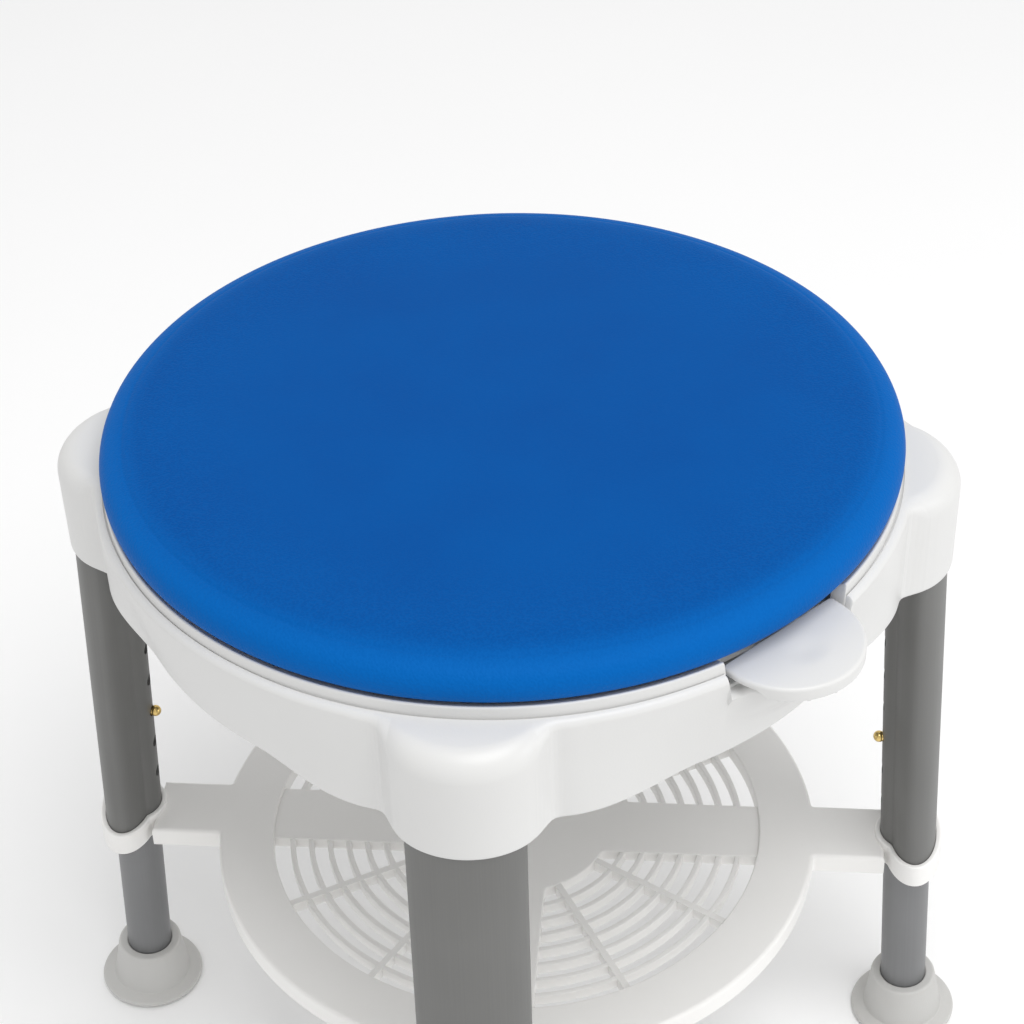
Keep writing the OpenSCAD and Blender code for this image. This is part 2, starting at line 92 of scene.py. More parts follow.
# %% Wires and graphs
class Wire:
    """An output socket that can be written in sums."""

    def __init__(self, graph, socket):
        self.graph = graph
        self.socket = socket

    def math(self, operation, *others):
        inputs = dict(enumerate((self, *others)))
        return self.graph.add("ShaderNodeMath", {"operation": operation}, inputs)

    def __add__(self, other):
        return self.math("ADD", other)

    def __mul__(self, other):
        return self.math("MULTIPLY", other)

    def __sub__(self, other):
        return self.math("SUBTRACT", other)

    def __rsub__(self, other):
        return (self * -1) + other

    def __truediv__(self, other):
        return self.math("DIVIDE", other)

    __radd__ = __add__
    __rmul__ = __mul__


class Graph:
    """A node tree with one method that adds any node."""

    def __init__(self, tree):
        self.tree = tree

    def add(self, kind, settings=None, inputs=None, out=0):
        node = self.tree.nodes.new(kind)
        for name, value in (settings or {}).items():
            if name == "stops":
                self.set_stops(node.color_ramp, value)
            else:
                setattr(node, name, value)
        for name, value in (inputs or {}).items():
            self.put(node.inputs[name], value)
        return Wire(self, node.outputs[out])

    def put(self, socket, value):
        if isinstance(value, (list, tuple)) and value and isinstance(value[0], Wire):
            for wire in value:
                self.tree.links.new(wire.socket, socket)
        elif isinstance(value, Wire):
            self.tree.links.new(value.socket, socket)
        else:
            socket.default_value = value

    def set_stops(self, ramp, stops):
        while len(ramp.elements) < len(stops):
            ramp.elements.new(1)
        for element, (position, colour) in zip(ramp.elements, stops):
            element.position = position
            element.color = colour


print("sums of wires become Math nodes")

# %% [markdown]
# ## A finish is one shader and a few patterns
# Every finish below has the same skeleton: one Principled shader, the object's own coordinates in
# metres, some noise at the scale of the real surface, and a bump. What is the same all over the
# surface is set on the shader's own sockets, so that it survives an export.

# %% The skeleton of a finish
class Finish(Graph):
    """A material built round one Principled shader."""

    def __init__(self, name, constants, place="object"):
        self.material = bpy.data.materials.new(name)
        self.material.use_nodes = True
        super().__init__(self.material.node_tree)
        self.tree.nodes.clear()
        self.shader = self.tree.nodes.new("ShaderNodeBsdfPrincipled")
        output = self.tree.nodes.new("ShaderNodeOutputMaterial")
        self.tree.links.new(self.shader.outputs[0], output.inputs["Surface"])
        for socket, value in constants.items():
            self.shader.inputs[socket].default_value = value
        if place == "object":
            self.place = self.add("ShaderNodeTexCoord", out="Object")
        else:
            self.place = self.add("ShaderNodeAttribute", {"attribute_name": place}, out="Vector")

    def stretched(self, factors):
        return self.add("ShaderNodeVectorMath", {"operation": "MULTIPLY"},
                        {0: self.place, 1: factors})

    def noise(self, scale, detail=2.0, stretch=None):
        place = self.stretched(stretch) if stretch else self.place
        return self.add("ShaderNodeTexNoise", {}, {"Vector": place, "Scale": scale,
                                                   "Detail": detail})

    def cells(self, scale):
        return self.add("ShaderNodeTexVoronoi", {}, {"Vector": self.place, "Scale": scale})

    def ramp(self, value, low, high):
        """Value turned into 0 below low, 1 above high, with a smooth change between."""
        settings = {"interpolation_type": "SMOOTHSTEP"}
        return self.add("ShaderNodeMapRange", settings, {0: value, 1: low, 2: high})

    def mix(self, factor, first, second):
        inputs = {0: factor, 6: first, 7: second}
        return self.add("ShaderNodeMix", {"data_type": "RGBA"}, inputs, out=2)

    def feed(self, **wires):
        for name, wire in wires.items():
            self.put(self.shader.inputs[name.replace("_", " ")], wire)
        return self

    def bump(self, height, distance, strength=1.0):
        normal = self.add("ShaderNodeBump", {}, {"Height": height, "Distance": distance,
                                                "Strength": strength})
        self.put(self.shader.inputs["Normal"], normal)
        return self


def tone(red, green, blue):
    return (red, green, blue, 1.0)


print("finish skeleton ready")

# %% [markdown]
# ## Pad vinyl
# The pad is covered in blue vinyl with a pressed leather grain. On the real sheet the grain is a
# net of small pebbles about a millimetre across with creases between them. A Voronoi pattern
# gives the pebbles, bent by noise so that no two are alike. The grain is rubbed flatter in the
# middle, where people sit, and is crisp near the edge.

# %% Pad vinyl
def pad_vinyl():
    f = Finish("vinyl_finish", {"IOR": 1.45, "Specular IOR Level": 0.04,
                              "Sheen Weight": 0.03, "Sheen Roughness": 0.4})
    bend = f.add("ShaderNodeTexNoise", {}, {"Vector": f.place, "Scale": 420.0, "Detail": 2.0},
                 out="Color")
    bent = f.add("ShaderNodeVectorMath", {"operation": "MULTIPLY_ADD"},
                 {0: bend, 1: (0.0011, 0.0011, 0.0011), 2: f.place})
    pebble = f.add("ShaderNodeTexVoronoi", {"feature": "SMOOTH_F1"},
                   {"Vector": bent, "Scale": 780.0, "Smoothness": 0.35})
    distance = f.add("ShaderNodeVectorMath", {"operation": "LENGTH"},
                     {0: f.stretched((1, 1, 0))}, out="Value")
    crisp = f.ramp(distance, 0.110, 0.184) * 0.8 + 0.2
    grain = pebble * crisp
    soft = f.noise(16.0, 3.0)
    fine = f.noise(2600.0, 1.0)
    deep, light = tone(0.0, 0.068, 0.292), tone(0.0, 0.076, 0.314)
    colour = f.mix(f.ramp(soft, 0.2, 0.8), deep, light)
    # painted sheen: towards the pad's edge the base colour turns a lighter blue, standing in for
    # the light that the vinyl catches along its rim
    painted_edge_sheen = f.mix(f.ramp(distance, 0.172, 0.192) * 0.85, colour, tone(0.001, 0.115, 0.430))
    # painted sheen: a lighter blue laid in the grain's pattern, strongest near the edge, stands in
    # for the sheen that the grain catches there
    painted_grain_sheen = f.mix(f.ramp(pebble, 0.30, 0.70) * crisp * 0.16, painted_edge_sheen, tone(0.004, 0.135, 0.480))
    f.feed(Base_Color=painted_grain_sheen, Roughness=soft * 0.10 + pebble * crisp * 0.10 + 0.48)
    return f.bump(grain * -1.0 + fine * 0.2, 0.00022, 0.9).material


PAD_VINYL = pad_vinyl()
print("made", PAD_VINYL.name)

# %% [markdown]
# ## White mouldings
# The frame and lever are glossy polypropylene, the tray a slightly duller grade of it, and the
# feet a soft grey-white rubber. Moulded plastic is never one flat white: the melt leaves broad,
# faint clouds, the tool leaves a fine skin, and handling leaves a few dull scuffs. One function
# makes all three, since they differ only in tint, gloss and how coarse the skin is.

# %% Moulded plastics
def moulded(name, light, dark, gloss, skin_scale, skin_depth, scuffs=0.05):
    f = Finish(name, {"IOR": 1.49})
    clouds = f.noise(9.0, 4.0)
    skin = f.noise(skin_scale, 2.0)
    speck = f.ramp(f.cells(190.0), 0.05, 0.012)
    scratches = f.ramp(f.noise(210.0, 5.0, (1, 1, 0.2)), 0.66, 0.80)
    colour = f.mix(f.ramp(clouds, 0.25, 0.75), light, dark)
    marked = f.mix(speck * 0.10 + scratches * 0.02, colour, tone(0.36, 0.35, 0.33))
    f.feed(Base_Color=marked, Roughness=clouds * 0.08 + scratches * scuffs + gloss)
    return f.bump(skin - scratches * 0.1, skin_depth).material


WHITE_PLASTIC = moulded("white_plastic_finish", tone(0.680, 0.679, 0.671),
                        tone(0.658, 0.656, 0.647), 0.33, 900.0, 0.00003)
TRAY_PLASTIC = moulded("tray_plastic_finish", tone(0.850, 0.842, 0.825), tone(0.825, 0.815, 0.795),
                       0.34, 700.0, 0.00005)
FOOT_RUBBER = moulded("foot_rubber_finish", tone(0.560, 0.556, 0.540), tone(0.510, 0.505, 0.490),
                      0.52, 1500.0, 0.00009, 0.2)
NYLON = moulded("nylon_finish", tone(0.700, 0.690, 0.630), tone(0.640, 0.628, 0.560),
                0.40, 1100.0, 0.00004)
DARK_NYLON = moulded("dark_nylon_finish", tone(0.060, 0.062, 0.065), tone(0.045, 0.046, 0.050),
                     0.45, 1100.0, 0.00005)
print("made five mouldings")

# %% [markdown]
# ## Drawn aluminium
# The legs are drawn tube. Drawing leaves very fine lines along the tube, and anodising turns the
# metal an even satin grey. The lines have to follow the leaning leg, so the finish reads an
# attribute that holds each point's place along its own leg instead of the object's coordinates.

# %% Metals
LEG_PLACE = "leg_place"


def drawn_tube(name, light, dark, roughness):
    f = Finish(name, {"Metallic": 0.5, "IOR": 1.5}, place=LEG_PLACE)
    lines = f.noise(2400.0, 3.0, (1, 1, 0.004))
    bands = f.noise(30.0, 2.0, (1, 1, 0.5))
    grit = f.noise(3000.0, 1.0)
    rubbed = f.ramp(f.noise(26.0, 4.0, (1, 1, 0.5)), 0.50, 0.78)
    colour = f.mix(f.ramp(lines * 0.35 + bands * 0.65, 0.25, 0.75), light, dark)
    f.feed(Base_Color=colour, Roughness=lines * 0.06 + rubbed * 0.05 + roughness)
    return f.bump(lines * 0.5 + grit * 0.4, 0.00001).material


def plain_metal(name, light, dark, roughness, brush=(1, 1, 1)):
    f = Finish(name, {"Metallic": 1.0})
    lines = f.noise(900.0, 4.0, brush)
    stain = f.noise(45.0, 4.0)
    colour = f.mix(f.ramp(stain, 0.3, 0.7), light, dark)
    f.feed(Base_Color=colour, Roughness=lines * 0.12 + stain * 0.08 + roughness)
    return f.bump(lines, 0.00002).material


ANODISED_GREY = drawn_tube("anodised_finish", tone(0.182, 0.182, 0.177), tone(0.165, 0.165, 0.160),
                           0.46)
SATIN_ALUMINIUM = drawn_tube("satin_finish", tone(0.215, 0.217, 0.221),
                             tone(0.197, 0.199, 0.203), 0.40)
ZINC_STEEL = plain_metal("zinc_finish", tone(0.62, 0.63, 0.64), tone(0.50, 0.50, 0.50), 0.26)
BRASS = plain_metal("brass_finish", tone(0.80, 0.60, 0.24), tone(0.66, 0.46, 0.16), 0.14)
print("made four metals")

# %% [markdown]
# ## Plywood
# A thin board stiffens the pad from below. Its top veneer shows straight grain: long thin streaks
# along X, a few darker than the rest.

# %% Plywood
def plywood():
    f = Finish("plywood_finish", {"IOR": 1.45})
    streaks = f.noise(140.0, 5.0, (0.06, 1, 1))
    pores = f.ramp(f.noise(900.0, 2.0, (0.05, 1, 1)), 0.58, 0.70)
    colour = f.mix(f.ramp(streaks, 0.3, 0.7), tone(0.56, 0.36, 0.19), tone(0.40, 0.23, 0.11))
    darker = f.mix(pores * 0.5, colour, tone(0.20, 0.11, 0.05))
    f.feed(Base_Color=darker, Roughness=streaks * 0.15 + 0.55)
    return f.bump(streaks - pores * 0.5, 0.0001).material


PLYWOOD = plywood()
print("made", PLYWOOD.name)

# %% [markdown]
# ## Small tools for meshes
# Nearly every piece here is either turned on an axis or swept round an outline, so four short
# functions carry the whole stool: one turns corners into arcs, one joins two rows of points, one
# turns a profile, and one makes the finished object with its body, finish and CAD node.

# %% Rows, arcs and turned shapes
def rounded(corners, steps=5, closed=False):
    """A path of (x, y, radius) corners, each turned into an arc of that radius."""
    path, count = [], len(corners)
    for i, (x, y, radius) in enumerate(corners):
        here = Vector((x, y))
        if radius <= 0 or (not closed and i in (0, count - 1)):
            path.append(here)
            continue
        before = Vector(corners[i - 1][:2]) - here
        after = Vector(corners[(i + 1) % count][:2]) - here
        half = before.angle(after, math.pi / 2) / 2
        reach = min(radius / max(math.tan(half), 1e-4), 0.48 * before.length,
                    0.48 * after.length)
        if reach < 1e-6:
            path += [here] * (steps + 1)
            continue
        radius = reach * math.tan(half)
        centre = here + (before.normalized() + after.normalized()).normalized() * (
            radius / math.sin(half))
        first = here + before.normalized() * reach - centre
        last = here + after.normalized() * reach - centre
        sweep = first.angle_signed(last)
        for k in range(steps + 1):
            turn = -sweep * k / steps
            path.append(centre + Matrix.Rotation(turn, 2) @ first)
    return path


def join_rows(bm, first, second):
    """Quads between two closed rows of points; a row of one point makes a fan."""
    count = max(len(first), len(second))
    for i in range(count):
        j = (i + 1) % count
        corners = [first[i % len(first)], first[j % len(first)],
                   second[j % len(second)], second[i % len(second)]]
        bm.faces.new(list(dict.fromkeys(corners)))


def loft(bm, rows, closed=False):
    """Joins rows of places, each row a closed loop; closed joins the last row to the first."""
    made = [[bm.verts.new(place) for place in row] for row in rows]
    if closed:
        made.append(made[0])
    for first, second in zip(made, made[1:]):
        join_rows(bm, first, second)


def turns(count):
    return [2 * math.pi * i / count for i in range(count)]


def lathe(bm, profile, matrix=Matrix(), steps=96, closed=False):
    """Turns (radius, height) points round the matrix's Z axis."""
    rows = []
    for radius, height in profile:
        if radius < 1e-6:
            rows.append([matrix @ Vector((0, 0, height))])
        else:
            rows.append([matrix @ Vector((radius * math.cos(t), radius * math.sin(t), height))
                         for t in turns(steps)])
    loft(bm, rows, closed)


def block(bm, low, high, matrix=Matrix()):
    """A box between two corners."""
    size = Vector(high) - Vector(low)
    centre = (Vector(high) + Vector(low)) / 2
    place = matrix @ Matrix.Translation(centre) @ Matrix.Diagonal((*size, 1))
    bmesh.ops.create_cube(bm, size=1, matrix=place)


print("mesh tools ready")

# %% [markdown]
# A finished piece has its normals outwards, crisp edges where the real edge is crisp, a finish,
# the body that it rides on and the CAD node that it stands for. Weighted normals keep large flat
# faces flat next to small roundings, which is what a moulding shows under a soft light.

# %% Finishing a piece
def object_from(bm, name, fix_normals=True):
    bmesh.ops.remove_doubles(bm, verts=bm.verts, dist=2e-6)
    bmesh.ops.dissolve_degenerate(bm, edges=bm.edges, dist=1e-6)
    if fix_normals:
        bmesh.ops.recalc_face_normals(bm, faces=bm.faces)
    mesh = bpy.data.meshes.new(name)
    bm.to_mesh(mesh)
    bm.free()
    return placed(name, mesh)


def apply_modifiers(piece):
    """Turns a piece with live modifiers into a plain mesh."""
    graph = bpy.context.evaluated_depsgraph_get()
    mesh = bpy.data.meshes.new_from_object(piece.evaluated_get(graph))
    piece.modifiers.clear()
    old, piece.data = piece.data, mesh
    name = old.name
    bpy.data.meshes.remove(old)
    mesh.name = name
    return piece


def modify(piece, kind, **settings):
    """Adds a modifier of a kind with its settings."""
    modifier = piece.modifiers.new(kind, kind)
    for name, value in settings.items():
        setattr(modifier, name, value)
    return modifier


def bevel(piece, width, segments=3, angle=40):
    modify(piece, "BEVEL", width=width, segments=segments, limit_method="ANGLE",
           angle_limit=math.radians(angle))
    return apply_modifiers(piece)


def shade(piece, sharp=35):
    for polygon in piece.data.polygons:
        polygon.use_smooth = True
    piece.data.set_sharp_from_angle(angle=math.radians(sharp))
    modify(piece, "WEIGHTED_NORMAL", keep_sharp=True, weight=60)
    return apply_modifiers(piece)


def dress(piece, finish, body, slot, *nodes, sharp=35):
    """Shading, finish, body and the CAD nodes that the piece stands for; slot is not used."""
    piece.data.materials.clear()
    piece.data.materials.append(finish)
    shade(piece, sharp)
    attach(piece, body)
    if nodes:
        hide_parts(*nodes)
    print(f"{piece.name}: {len(piece.data.polygons)} faces, rides on {body}")
    return piece


# %% [markdown]
# ## Where the legs and the lever are
# The four legs lean outwards by the angle of their slides, and stand at equal distances. A matrix
# per leg puts local X across the leg, local Y towards the seat's middle and local Z up along the
# tube. The lever has one too, with local X along its own radius. Both come from the joints.

# %% Leg and lever frames
SIDES = ("front", "right", "back", "left")
joints = {joint["name"]: joint for joint in frame["joints"]}
lean = math.asin(-joints["leg_slide_front"]["axis"][1])
tube_low, tube_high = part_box("inner_tube_front")
tube_middle = (tube_low + tube_high) / 2
leg_base = tube_middle.z * math.tan(lean) - tube_middle.y


def leg_frame(side):
    turn = Matrix.Rotation(math.radians(90 * SIDES.index(side)), 4, "Z")
    return turn @ Matrix.Translation((0, -leg_base, 0)) @ Matrix.Rotation(-lean, 4, "X")


lever_pin = Vector(joints["lever_press"]["pos_m"])
LEVER_ANGLE = math.atan2(lever_pin.y, lever_pin.x)
LEVER_FRAME = Matrix.Rotation(LEVER_ANGLE, 4, "Z")
print(f"legs lean {math.degrees(lean):.2f} degrees and stand {leg_base * 1000:.1f} mm out")


def smooth_max(first, second, blend):
    """The larger of two numbers with a rounded change-over."""
    overlap = max(0.0, blend - abs(first - second)) / blend
    return max(first, second) + overlap * overlap * blend / 4


def step_up(value, low, high):
    """0 below low, 1 above high, smooth between."""
    share = min(1.0, max(0.0, (value - low) / (high - low)))
    return share * share * (3 - 2 * share)


# %% [markdown]
# ## The pad
# Foam on a board, covered with one round sheet of vinyl that is heat-pressed near its edge. The
# foam pushes the vinyl out, so the pad starts as a slightly smaller disc, is cut into an even
# grid of small faces, and is blown up as cloth with its underside held. How far a point may move
# is capped, because real vinyl stops stretching.

# %% Blow up the pad
pad_low, pad_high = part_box("seat_cushion")
PAD_R = pad_high.x
PAD_EDGE = (pad_high.z - pad_low.z) / 2
SWELL = 3.0 * MM
CLOTH_FRAMES = 20


def pad_start():
    """The foam before it is covered: a disc with a rounded edge, smaller by the swell."""
    top, radius = pad_high.z - SWELL, PAD_R - SWELL * 0.7
    bm = bmesh.new()
    profile = rounded([(0, pad_low.z, 0), (radius - 3 * MM, pad_low.z, 4 * MM),
                       (radius, (pad_low.z + top) / 2, 16 * MM), (radius - 3.5 * MM, top, 9 * MM),
                       (0, top, 0)], 8)
    lathe(bm, profile, steps=120)
    piece = object_from(bm, "pad_start")
    modify(piece, "REMESH", mode="VOXEL", voxel_size=5 * MM)
    return apply_modifiers(piece)


def blow_up(piece):
    """Cloth with pressure inside, its underside held, each point's movement capped."""
    before = [v.co.copy() for v in piece.data.vertices]
    outwards = [v.normal.copy() for v in piece.data.vertices]
    held = piece.vertex_groups.new(name="held")
    held.add([i for i, co in enumerate(before) if co.z < pad_low.z + 1.5 * MM], 1.0, "REPLACE")
    modifier = modify(piece, "CLOTH")
    cloth = modifier.settings
    cloth.use_pressure = True
    cloth.uniform_pressure_force = 4
    cloth.vertex_group_mass = "held"
    cloth.effector_weights.gravity = 0
    cloth.mass = 0.3
    cloth.tension_stiffness = 30
    cloth.bending_stiffness = 4
    modifier.point_cache.frame_start = 1
    modifier.point_cache.frame_end = CLOTH_FRAMES
    for number in range(1, CLOTH_FRAMES + 1):
        bpy.context.scene.frame_set(number)
    apply_modifiers(piece)
    bpy.context.scene.frame_set(1)
    moved = 0.0
    for vertex, start, way in zip(piece.data.vertices, before, outwards):
        step = max(0.0, (vertex.co - start).dot(way))
        moved = max(moved, step)
        vertex.co = start + way * min(step, SWELL)
    print(f"the cloth moved up to {moved * 1000:.1f} mm, capped at {SWELL * 1000:.1f} mm")


foam = pad_start()
blow_up(foam)

# %% [markdown]
# The simulated grid is square, but the pressed line near the pad's edge is round, and a round
# line on a square grid would look stepped. So a clean round mesh is laid over the blown-up pad:
# rays from inside the foam find the surface, and the rings are close together at the line.

# %% Lay a round cover over it
LINE_R = PAD_R - 15.5 * MM
LINE_W = 1.4 * MM
LINE_DEPTH = 0.40 * MM
COVER_STEPS = 288


def cover_rays():
    """(radius, height, direction out, direction up) of each ring's ray, from top to underside."""
    middle = (pad_low.z + pad_high.z) / 2
    edge = PAD_R - PAD_EDGE
    inner = [edge * k / 26 for k in range(1, 27) if abs(edge * k / 26 - LINE_R) > 3 * LINE_W]
    line = [LINE_R + LINE_W * k / 2 for k in (-5, -3, -2, -1, 0, 1, 2, 3, 5)
            if LINE_R + LINE_W * k / 2 < edge]
    rays = [(radius, middle, 0.0, 1.0) for radius in sorted(inner + line)]
    for k in range(1, 20):
        turn = math.radians(90 - 9 * k)
        rays.append((edge, middle, math.cos(turn), math.sin(turn)))
    rays += [(radius, middle, 0.0, -1.0) for radius in (edge, 0.178, 0.1762)]
    return rays


def evened(values, reach=9):
    """Each value of a ring replaced by the mean of its neighbours on both sides."""
    count, width = len(values), 2 * reach + 1
    return [sum(values[(i + k) % count] for k in range(-reach, reach + 1)) / width
            for i in range(count)]


def lay_cover(foam):
    modify(foam, "SMOOTH", iterations=6)
    modify(foam, "SUBSURF", levels=1, render_levels=1)
    apply_modifiers(foam)
    tree = BVHTree.FromObject(foam, bpy.context.evaluated_depsgraph_get())
    ways = [Vector((math.cos(turn), math.sin(turn), 0)) for turn in turns(COVER_STEPS)]
    rings = []
    for radius, height, out, up in cover_rays():
        hits = [tree.ray_cast(way * radius + Vector((0, 0, height)),
                              (way * out + Vector((0, 0, up))).normalized())[0] for way in ways]
        rings.append((evened([math.hypot(hit.x, hit.y) for hit in hits]),
                      evened([hit.z for hit in hits])))
    widest = max(max(reach) for reach, level in rings)
    tallest = max(max(level) for reach, level in rings)
    stretch = (PAD_R - 0.2 * MM) / widest
    lift = (pad_high.z - 0.2 * MM - pad_low.z) / (tallest - pad_low.z)
    rows = [[Vector((0, 0, pad_high.z - 0.2 * MM))]]
    for (radius, *_), (reach, level) in zip(cover_rays(), rings):
        row = []
        pressed = LINE_DEPTH * math.exp(-((radius - LINE_R) / (0.7 * LINE_W)) ** 2)
        for way, far, high in zip(ways, reach, level):
            far *= stretch
            high = pad_low.z + (high - pad_low.z) * lift
            if high > pad_low.z + PAD_EDGE:
                high -= pressed
            row.append(way * far + Vector((0, 0, high)))
        rows.append(row)
    recess = pad_low.z + 4 * MM
    rows.append([Vector((p.x, p.y, recess)) for p in rows[-1]])
    rows.append([Vector((0, 0, recess))])
    bpy.data.objects.remove(foam)
    print(f"cover stretched by {stretch:.4f} and lifted by {lift:.4f}")
    return rows


cover = bmesh.new()
loft(cover, lay_cover(foam))
seat_cushion = object_from(cover, "padded_seat")
dress(seat_cushion, PAD_VINYL, "seat", "pad_vinyl", "seat_cushion", sharp=50)

# %% [markdown]
# ## The frame's outer moulding
# One moulding carries the seat: a round skirt, a socket that swells out over each leg, a raised
# ridge round the pad and a bulge under the lever. In plan it is a rule: the larger of a circle
# and four oval lobes, with a soft change-over. In section it is another rule: wall, rounded
# shoulder, groove, ridge and well. So the mesh is one section per direction, joined in a ring.

# %% Plan of the frame
skirt_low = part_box("seat_frame")[0].z
frame_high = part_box("seat_frame")[1].z
SOCKET_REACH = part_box("seat_frame")[1].x
SOCKET_HALF = 36.5 * MM
SOCKET_CENTRE = 192 * MM
SKIRT_TOP_R = 198.4 * MM
SKIRT_LOW_R = 186 * MM
FLARE = 12.4 * MM
SHOULDER = frame_high - 2.8 * MM
FLARE_FROM, FLARE_TO = math.radians(33), math.radians(13)
BULGE_REACH, BULGE_SWELL = 182 * MM, 24 * MM
BULGE_HALF, BULGE_CENTRE = 41 * MM, 165 * MM
RIDGE_OUT, RIDGE_IN = 194.4 * MM, 187 * MM
RIDGE_RISE = 3.8 * MM
SPREAD = (1, 2, 3, 4, 3, 2, 1)
WALL = 3.2 * MM
PADDLE_U = 191 * MM
PADDLE_R = 35 * MM
GAP_HALF = math.asin((PADDLE_R + 0.8 * MM) / 191 / MM)


def lobe(angle, reach, half_width, centre):
    """Distance from the middle to the edge of an oval lobe that lies on angle 0."""
    along = reach - centre
    a = (math.cos(angle) / along) ** 2 + (math.sin(angle) / half_width) ** 2
    b = -2 * centre * math.cos(angle) / along ** 2
    c = (centre / along) ** 2 - 1
    inside = b * b - 4 * a * c
    if abs(angle) > 1 or inside < 0:
        return 0.0
    return (-b + math.sqrt(inside)) / (2 * a)


def fold(angle, share):
    """The angle brought into the range around zero that is 1/share of a turn wide."""
    width = 2 * math.pi / share
    return (angle + width / 2) % width - width / 2


def frame_reach(angle, height):
    """How far the outer wall is from the middle, at an angle and height."""
    share = (height - skirt_low) / (SHOULDER - skirt_low)
    offset = abs(fold(angle, 4))
    low = SKIRT_LOW_R + FLARE * (1 - step_up(offset, FLARE_TO, FLARE_FROM))
    skirt = low + (max(SKIRT_TOP_R, low + 0.5 * MM) - low) * share
    # the mean over a few degrees gives the soft hollow on both sides of a socket
    around = [max(skirt, lobe(offset + math.radians(0.55 * k), SOCKET_REACH, SOCKET_HALF,
                              SOCKET_CENTRE)) for k in range(-3, 4)]
    reach = smooth_max(skirt, sum(w * r for w, r in zip(SPREAD, around)) / sum(SPREAD), 3 * MM)
    swell = step_up(height, skirt_low + 1 * MM, skirt_low + 40 * MM)
    bulge = lobe(fold(angle - LEVER_ANGLE, 1), BULGE_REACH + BULGE_SWELL * swell, BULGE_HALF,
                 BULGE_CENTRE)
    return smooth_max(reach, bulge, 6 * MM)


print(f"socket reaches {frame_reach(0, 0.36) * 1000:.1f} mm, "
      f"skirt {frame_reach(0.6, 0.36) * 1000:.1f} mm")

# %% [markdown]
# The section has a fixed number of corners, so every direction gives the same number of points
# and the ring closes. Near the lever the ridge and shoulder drop away within a few millimetres,
# which leaves the rounded ends that the ridge has on both sides of the paddle.

# %% Section of the frame
DECK_TOP = 386 * MM
DECK_LOW = 383 * MM


def frame_section(angle):
    """Corners of the wall's closed section, from its lower inner edge round the outside."""
    aside = abs(fold(angle - LEVER_ANGLE, 1))
    off = aside - GAP_HALF
    # the lever's arm comes up through a slot in the ledge
    inner = RIDGE_IN + 3.6 * MM * (1 - step_up(aside, 15.0 / 191, 16.2 / 191))
    open_gap = 1 - step_up(off, 0.0, 2.6 / 191)
    shoulder = SHOULDER - (SHOULDER - DECK_TOP + 1 * MM) * open_gap
    ridge = frame_high - (frame_high - DECK_TOP + 1 * MM) * open_gap
    top_reach = max(frame_reach(angle, shoulder), SKIRT_TOP_R)
    spare = top_reach - SKIRT_TOP_R
    edge = 2.8 * MM + min(9.5 * MM, spare * 0.9)
    low_reach = frame_reach(angle, skirt_low)
    outside = [(low_reach - WALL, skirt_low, 0.6 * MM), (low_reach, skirt_low, 1.6 * MM)]
    start = shoulder - edge
    outside += [(frame_reach(angle, z), z, 0)
                for z in (skirt_low + (start - skirt_low) * k / 8 for k in range(1, 8))]
    edge_reach = max(frame_reach(angle, start), SKIRT_TOP_R - 0.4 * MM)
    outside += [(edge_reach - edge * (1 - math.cos(t)), start + edge * math.sin(t), 0)
                for t in (math.pi / 16 * k for k in range(9))]
    groove = shoulder - 0.9 * MM * (1 - open_gap)
    rise = RIDGE_RISE * (1 - open_gap)
    outside += [(min(RIDGE_OUT + 0.9 * MM, edge_reach - edge - 0.05 * MM), shoulder, 0),
                (RIDGE_OUT + 0.6 * MM, groove, 0.2 * MM), (RIDGE_OUT, groove, 0.2 * MM),
                (RIDGE_OUT - 0.1 * MM, ridge + rise, 1.7 * MM),
                (RIDGE_OUT - 2.9 * MM, ridge + rise / 2, 0.8 * MM), (inner, ridge, 0.8 * MM),
                (inner, DECK_LOW, 0.4 * MM), (inner + 2.4 * MM, DECK_LOW, 0.4 * MM)]
    under = min(shoulder, ridge) - WALL
    inner_top = max(top_reach - WALL, inner + 3.4 * MM)
    outside += [(inner + 2.4 * MM, under, 0.4 * MM), (inner_top - edge * 0.5, under, 1 * MM),
                (inner_top, under - edge * 0.5, 1 * MM)]
    return outside


def frame_angles():
    """Even steps, with finer ones where the ridge ends beside the lever."""
    even = [2 * math.pi * i / 600 - math.pi for i in range(600)]
    near = [LEVER_ANGLE + side * (GAP_HALF + k * 0.0012)
            for side in (-1, 1) for k in range(-3, 16)]
    near += [math.pi / 2 * quarter + side * (0.150 + k * 0.0021)
             for quarter in (-1, 0, 1, 2) for side in (-1, 1) for k in range(34)]
    near = [fold(a, 1) for a in near]
    kept = [a for a in even if all(abs(a - b) > 0.0035 for b in near)]
    return sorted(kept + near)


def frame_rows():
    rows = []
    for angle in frame_angles():
        way = Vector((math.cos(angle), math.sin(angle), 0))
        path = rounded(frame_section(angle), 6, closed=True)
        rows.append([way * r + Vector((0, 0, z)) for r, z in path])
    return rows


moulding = bmesh.new()
loft(moulding, frame_rows(), closed=True)
frame_moulding = object_from(moulding, "frame_moulding")
dress(frame_moulding, WHITE_PLASTIC, "frame", "white_plastic", "seat_frame", sharp=50)

# %% [markdown]
# ## The frame's ribs and deck
# Seen from below, the moulding is a shell stiffened by webs that run from the hub to the skirt, a
# ring web under the glide pads, and a deck with windows. They repeat by rule, so a Geometry Nodes
# tree makes them: one web is instanced round the hub, and one wedge is instanced and cut out of
# the deck. The sizes are the tree's inputs.

